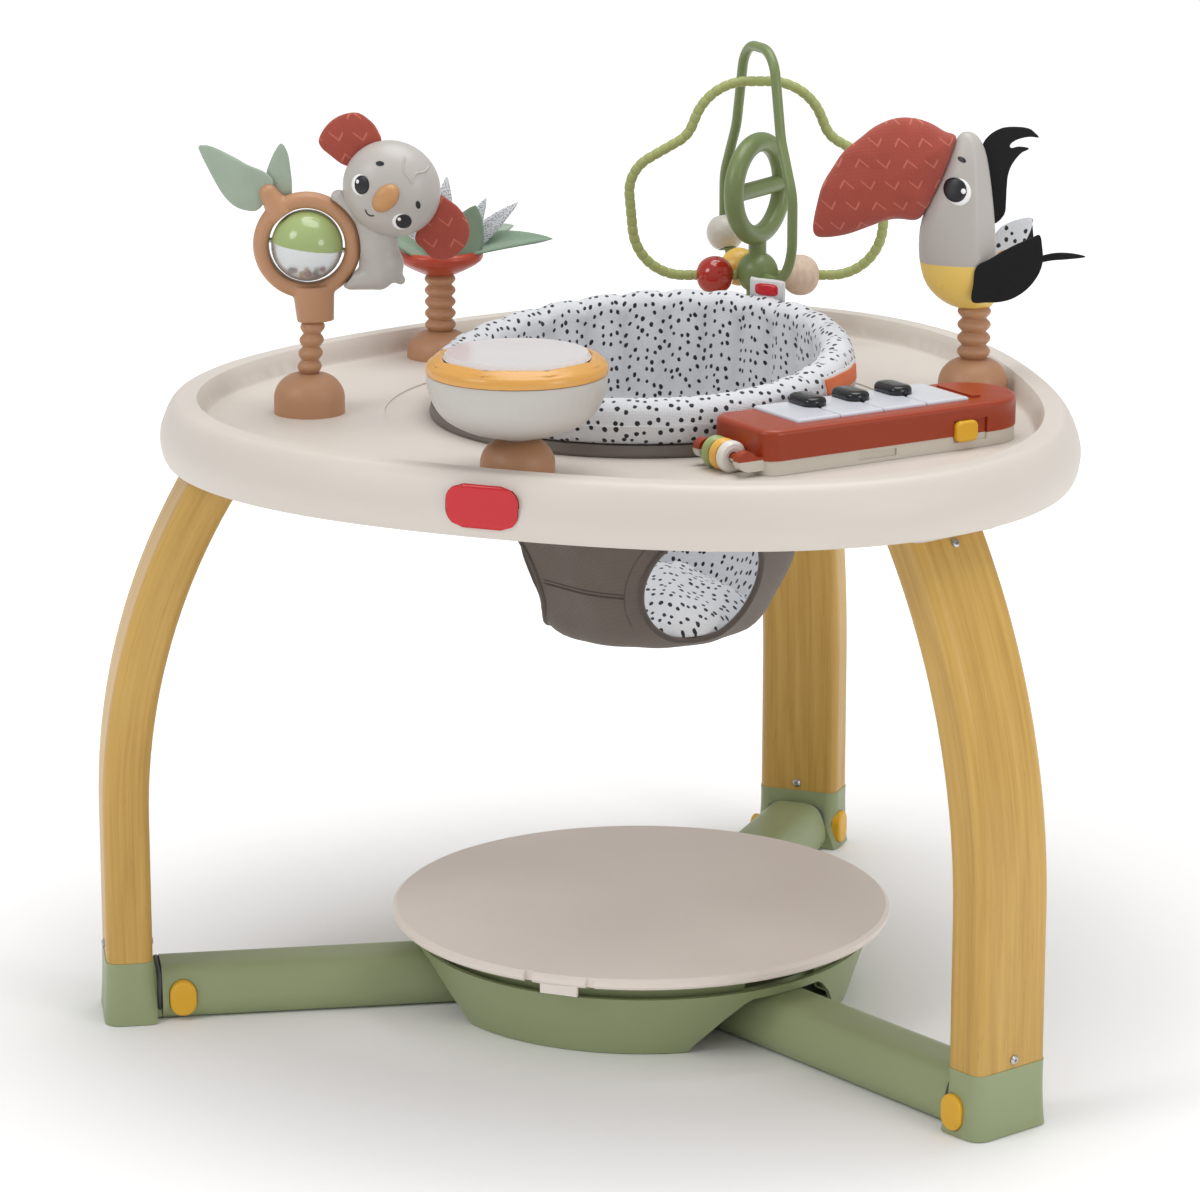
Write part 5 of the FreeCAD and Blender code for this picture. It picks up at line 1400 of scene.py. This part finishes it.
def rounded_path(corners, per=10):
    """Points of straight runs joined by arcs, from (x, z, radius) corners."""
    path = [Vector((corners[0][0], 0, corners[0][1]))]
    for before, corner, after in zip(corners, corners[1:], corners[2:]):
        here = Vector((corner[0], 0, corner[1]))
        come = (here - Vector((before[0], 0, before[1]))).normalized()
        go = (Vector((after[0], 0, after[1])) - here).normalized()
        half = come.angle(go) / 2
        start = here - come * corner[2] * math.tan(half)
        centre = here + (go - come).normalized() * corner[2] / math.cos(half)
        axis = come.cross(go).normalized()
        for k in range(per + 1):
            path.append(centre + Matrix.Rotation(2 * half * k / per, 3, axis) @ (start - centre))
    path.append(Vector((corners[-1][0], 0, corners[-1][1])))
    return path


def make_loop():
    """Outer bead loop of ribbed green tube, open where its ends go down into the post."""
    foot, pitch = 524.5, 7.4
    half = [(100, foot, 42), (108, 612, 32), (58, 641, 26), (40, 686, 46)]
    corners = [(0, foot, 0)] + half + [(-x, z, r) for x, z, r in reversed(half)] + [(0, foot, 0)]
    coarse = rounded_path(corners, 12)
    fine = []
    for a, b in zip(coarse, coarse[1:]):
        pieces = max(1, round((b - a).length / 0.8))
        fine += [a + (b - a) * k / pieces for k in range(pieces)]
    fine.append(coarse[-1])
    keep = [p for p in fine if abs(p.x) > 16.8 or p.z > 560]

    def ribs(length):
        place = (length / pitch) % 1.0
        return 1.0 - 0.13 * math.exp(-((place - 0.5) / 0.12) ** 2)

    loop = tube("outer_loop", keep, 4.25, BEADS, M["loop_green"], 16, False, ribs)
    wear(loop, "frame", "loop_outer")


TOUCAN_SECTIONS = [  # height, front x, back x, half depth, crease x
    (536.0, -12, 10, 8, 0), (537.6, -18, 13, 13, 0), (541.8, -26, 15, 18, 0), (548.6, -34, 16, 22, 0),
    (559, -41.2, 16, 25, 0), (575.4, -44, 15.6, 26, 0), (577.0, -44, 15.6, 26, 0),
    (585, -44.7, 15.2, 26, -0.5), (600, -44.2, 14, 25.5, -0.8), (613, -40.8, 13, 24, -1.2),
    (631, -31.5, 10.8, 21.5, -2), (645, -25.4, 8.8, 18.5, -2.5), (657, -21.5, 6.6, 15, -3),
    (665.5, -18.4, 3.6, 11, -4), (671.5, -15.5, -0.5, 7, -6), (675, -11.5, -5.5, 2.5, -8)]


def make_toucan():
    """Toucan with a stuffed beak and felt crest, wings and tail."""
    ribbed_stem("toucan_ribs", "toucan_stem", "toucan", 495.8, 538.6, 9.6, 13.0, 4, TOUCAN)
    points = []
    for z, front, back, deep, crease in TOUCAN_SECTIONS:
        half = []
        for k in range(17):
            turn = math.pi / 2 * k / 16
            half.append((crease - (crease - front) * math.cos(turn), deep * math.sin(turn)))
        for k in range(1, 7):
            share = k / 6
            half.append((crease + (back - crease) * share, deep * (1 - 0.62 * share ** 1.2)))
        half.append((back + 0.6, deep * 0.2))
        ring = half + [(x, -y) for x, y in reversed(half[1:])]
        points += [(x, -y, z) for x, y in ring]
    faces = capped(len(TOUCAN_SECTIONS), len(ring))
    body = build("toucan_figure", points, faces, Matrix.Identity(4), M["grey"])
    body.data.materials.append(M["felt_yellow"])
    for polygon in body.data.polygons:
        polygon.material_index = 1 if polygon.center.z < 576.2 else 0
    subdivide(body)
    tree = surface_of(body)
    wear(put(body, TOUCAN), "toucan", "toucan_body")
    mark(tree, TOUCAN, "toucan", [
        ("toucan_eye_white", (-15.6, 630.6), (9.6, 10.4), 0, "white_ink", 0.25, 0.3),
        ("toucan_eye", (-18.0, 632.0), (8.6, 9.3), 0, "black_ink", 0.6, 0.5),
        # The glint is a painted highlight: a small white dot standing for the lamps' reflection in the eye.
        ("toucan_glint", (-11.8, 631.4), (1.8, 2.0), 0, "white_ink", 1.2, 0.2),
        ("toucan_brow", (-13.0, 655.0), (3.2, 1.9), -25, "black_ink", 0.3, 0.1)])

    beak = [(-17, 671.5), (-26, 675.4), (-36.5, 681.6), (-49.9, 685.7), (-64.9, 685.4), (-79.9, 679.2),
            (-91, 670.5), (-103.8, 660), (-112, 648), (-120.3, 634), (-124.5, 619), (-127.5, 603),
            (-126.5, 594.6), (-120, 591.8), (-102.3, 593.5), (-81.4, 599.6), (-64.9, 604.2),
            (-46, 605.0), (-38, 614), (-30, 630), (-24, 645), (-19, 660)]
    padded = stuffed("toucan_beak_pad", beak, lambda x, z: 14.5 + 0.05 * (x + 60), lambda x, z: 0.0,
                     TOUCAN, M["rust_cloth"], 2.0, (-62, 640))
    wear(padded, "toucan", "toucan_beak")

    crest = [(4, 665.3), (10, 673), (19, 677.7), (29.4, 678.5), (39.9, 676.9), (45.1, 673),
             (47.7, 669.6), (39.9, 670.3), (30.9, 668.4), (25.5, 664.8), (26, 661.8), (32.4, 663),
             (40.6, 661.1), (33.9, 657.6), (27.2, 649.1), (24.2, 640.6), (23.4, 631.3), (23.1, 619),
             (21.9, 609.7), (14.5, 602.5), (9, 608), (7, 631), (2, 653)]
    feathers = cut_shape("toucan_crest", crest, 2.6, 0.9, M["felt"])
    for vertex in feathers.data.vertices:
        vertex.co.y += 0.002 * (vertex.co.x - 5) ** 2
    wear(put(feathers, TOUCAN), "toucan", "toucan_feathers")
    wing = [(-1.3, 573.1), (9.9, 580.1), (24.9, 589.4), (39.9, 596.9), (46.5, 599.5), (48.6, 590),
            (49.2, 579), (45.9, 568.2), (38.4, 557.4), (27.9, 549.4), (17.4, 546.0), (7, 545.4),
            (-4.3, 546.2), (-3.4, 560)]
    inner = [(13.4, 582), (19.9, 594.6), (31.4, 600.3), (44.7, 601.8), (47.5, 598), (42, 584),
             (30, 572), (16, 568)]
    under = [(8, 566), (14.4, 581.5), (19.5, 585.5), (26.0, 586.5), (29.0, 583), (26, 574), (16, 566)]
    spike = [(40, 574.5), (49.2, 576.6), (62.3, 579.4), (75.8, 579.0), (86, 576.2), (69.8, 574.2),
             (59.3, 573.4), (40, 570)]
    for name, outline, thick, look, slot, near, curve in (
            ("toucan_wing_near", wing, 2.6, "felt", "feather_black", -26.6, -0.003),
            ("toucan_wing_far", wing, 2.6, "felt", "feather_black", 27.6, 0.006),
            ("toucan_wing_lining", inner, 1.8, "dotted", "seat_dotted_fabric", 18.0, 0.006),
            ("toucan_wing_under", under, 1.8, "wing_orange", "rust_fabric", -20.0, -0.004),
            ("toucan_tail", spike, 2.4, "felt", "feather_black", 0.0, 0.0)):
        piece = felted(name, outline, thick,
                       lambda x, z, near=near, curve=curve: near + curve * (x + 4) ** 2, TOUCAN, M[look])
        wear(piece, "toucan")


def make_key_caps():
    """A glossy cap with a rounded top on each black key."""
    piano = WHOLE @ Matrix.Translation((209.4, -65.9, 0)) @ turned(52.8)
    first_x, pitch, y = -47.0, 39.0, 20.0
    half_wide, half_deep, corner, least_corner = 10.0, 16.5, 8.5, 1.5
    rings = ((0.0, 506.4), (0.2, 509.6), (1.0, 511.4), (2.8, 512.5), (6.0, 512.9))
    points = [(u, v, z) for inward, z in rings for u, v in rounded_rectangle(
        half_wide - inward, half_deep - inward, max(corner - inward, least_corner))]
    for number in range(3):
        where = piano @ Matrix.Translation((first_x + pitch * number, y, 0))
        cap = build("black_key_%d" % (number + 1), points, capped(len(rings), 28), where, M["key_black"])
        wear(cap, "frame")


# ---------------------------------------------------------------- floor and finish
def make_floor():
    """Floor sheet just under the feet."""
    far, z = 9000, -0.6
    points = [(-far, -far, z), (far, -far, z), (far, far, z), (-far, far, z)]
    build("floor", points, [(0, 1, 2, 3)], WHOLE, floor_material())


make_floor()
seat_wall = make_padding()
make_pouch()
make_labels(seat_wall)
make_badge()
make_collars()
make_springs()
make_koala()
make_flower()
make_drum()
make_beads()
make_loop()
make_toucan()
make_key_caps()
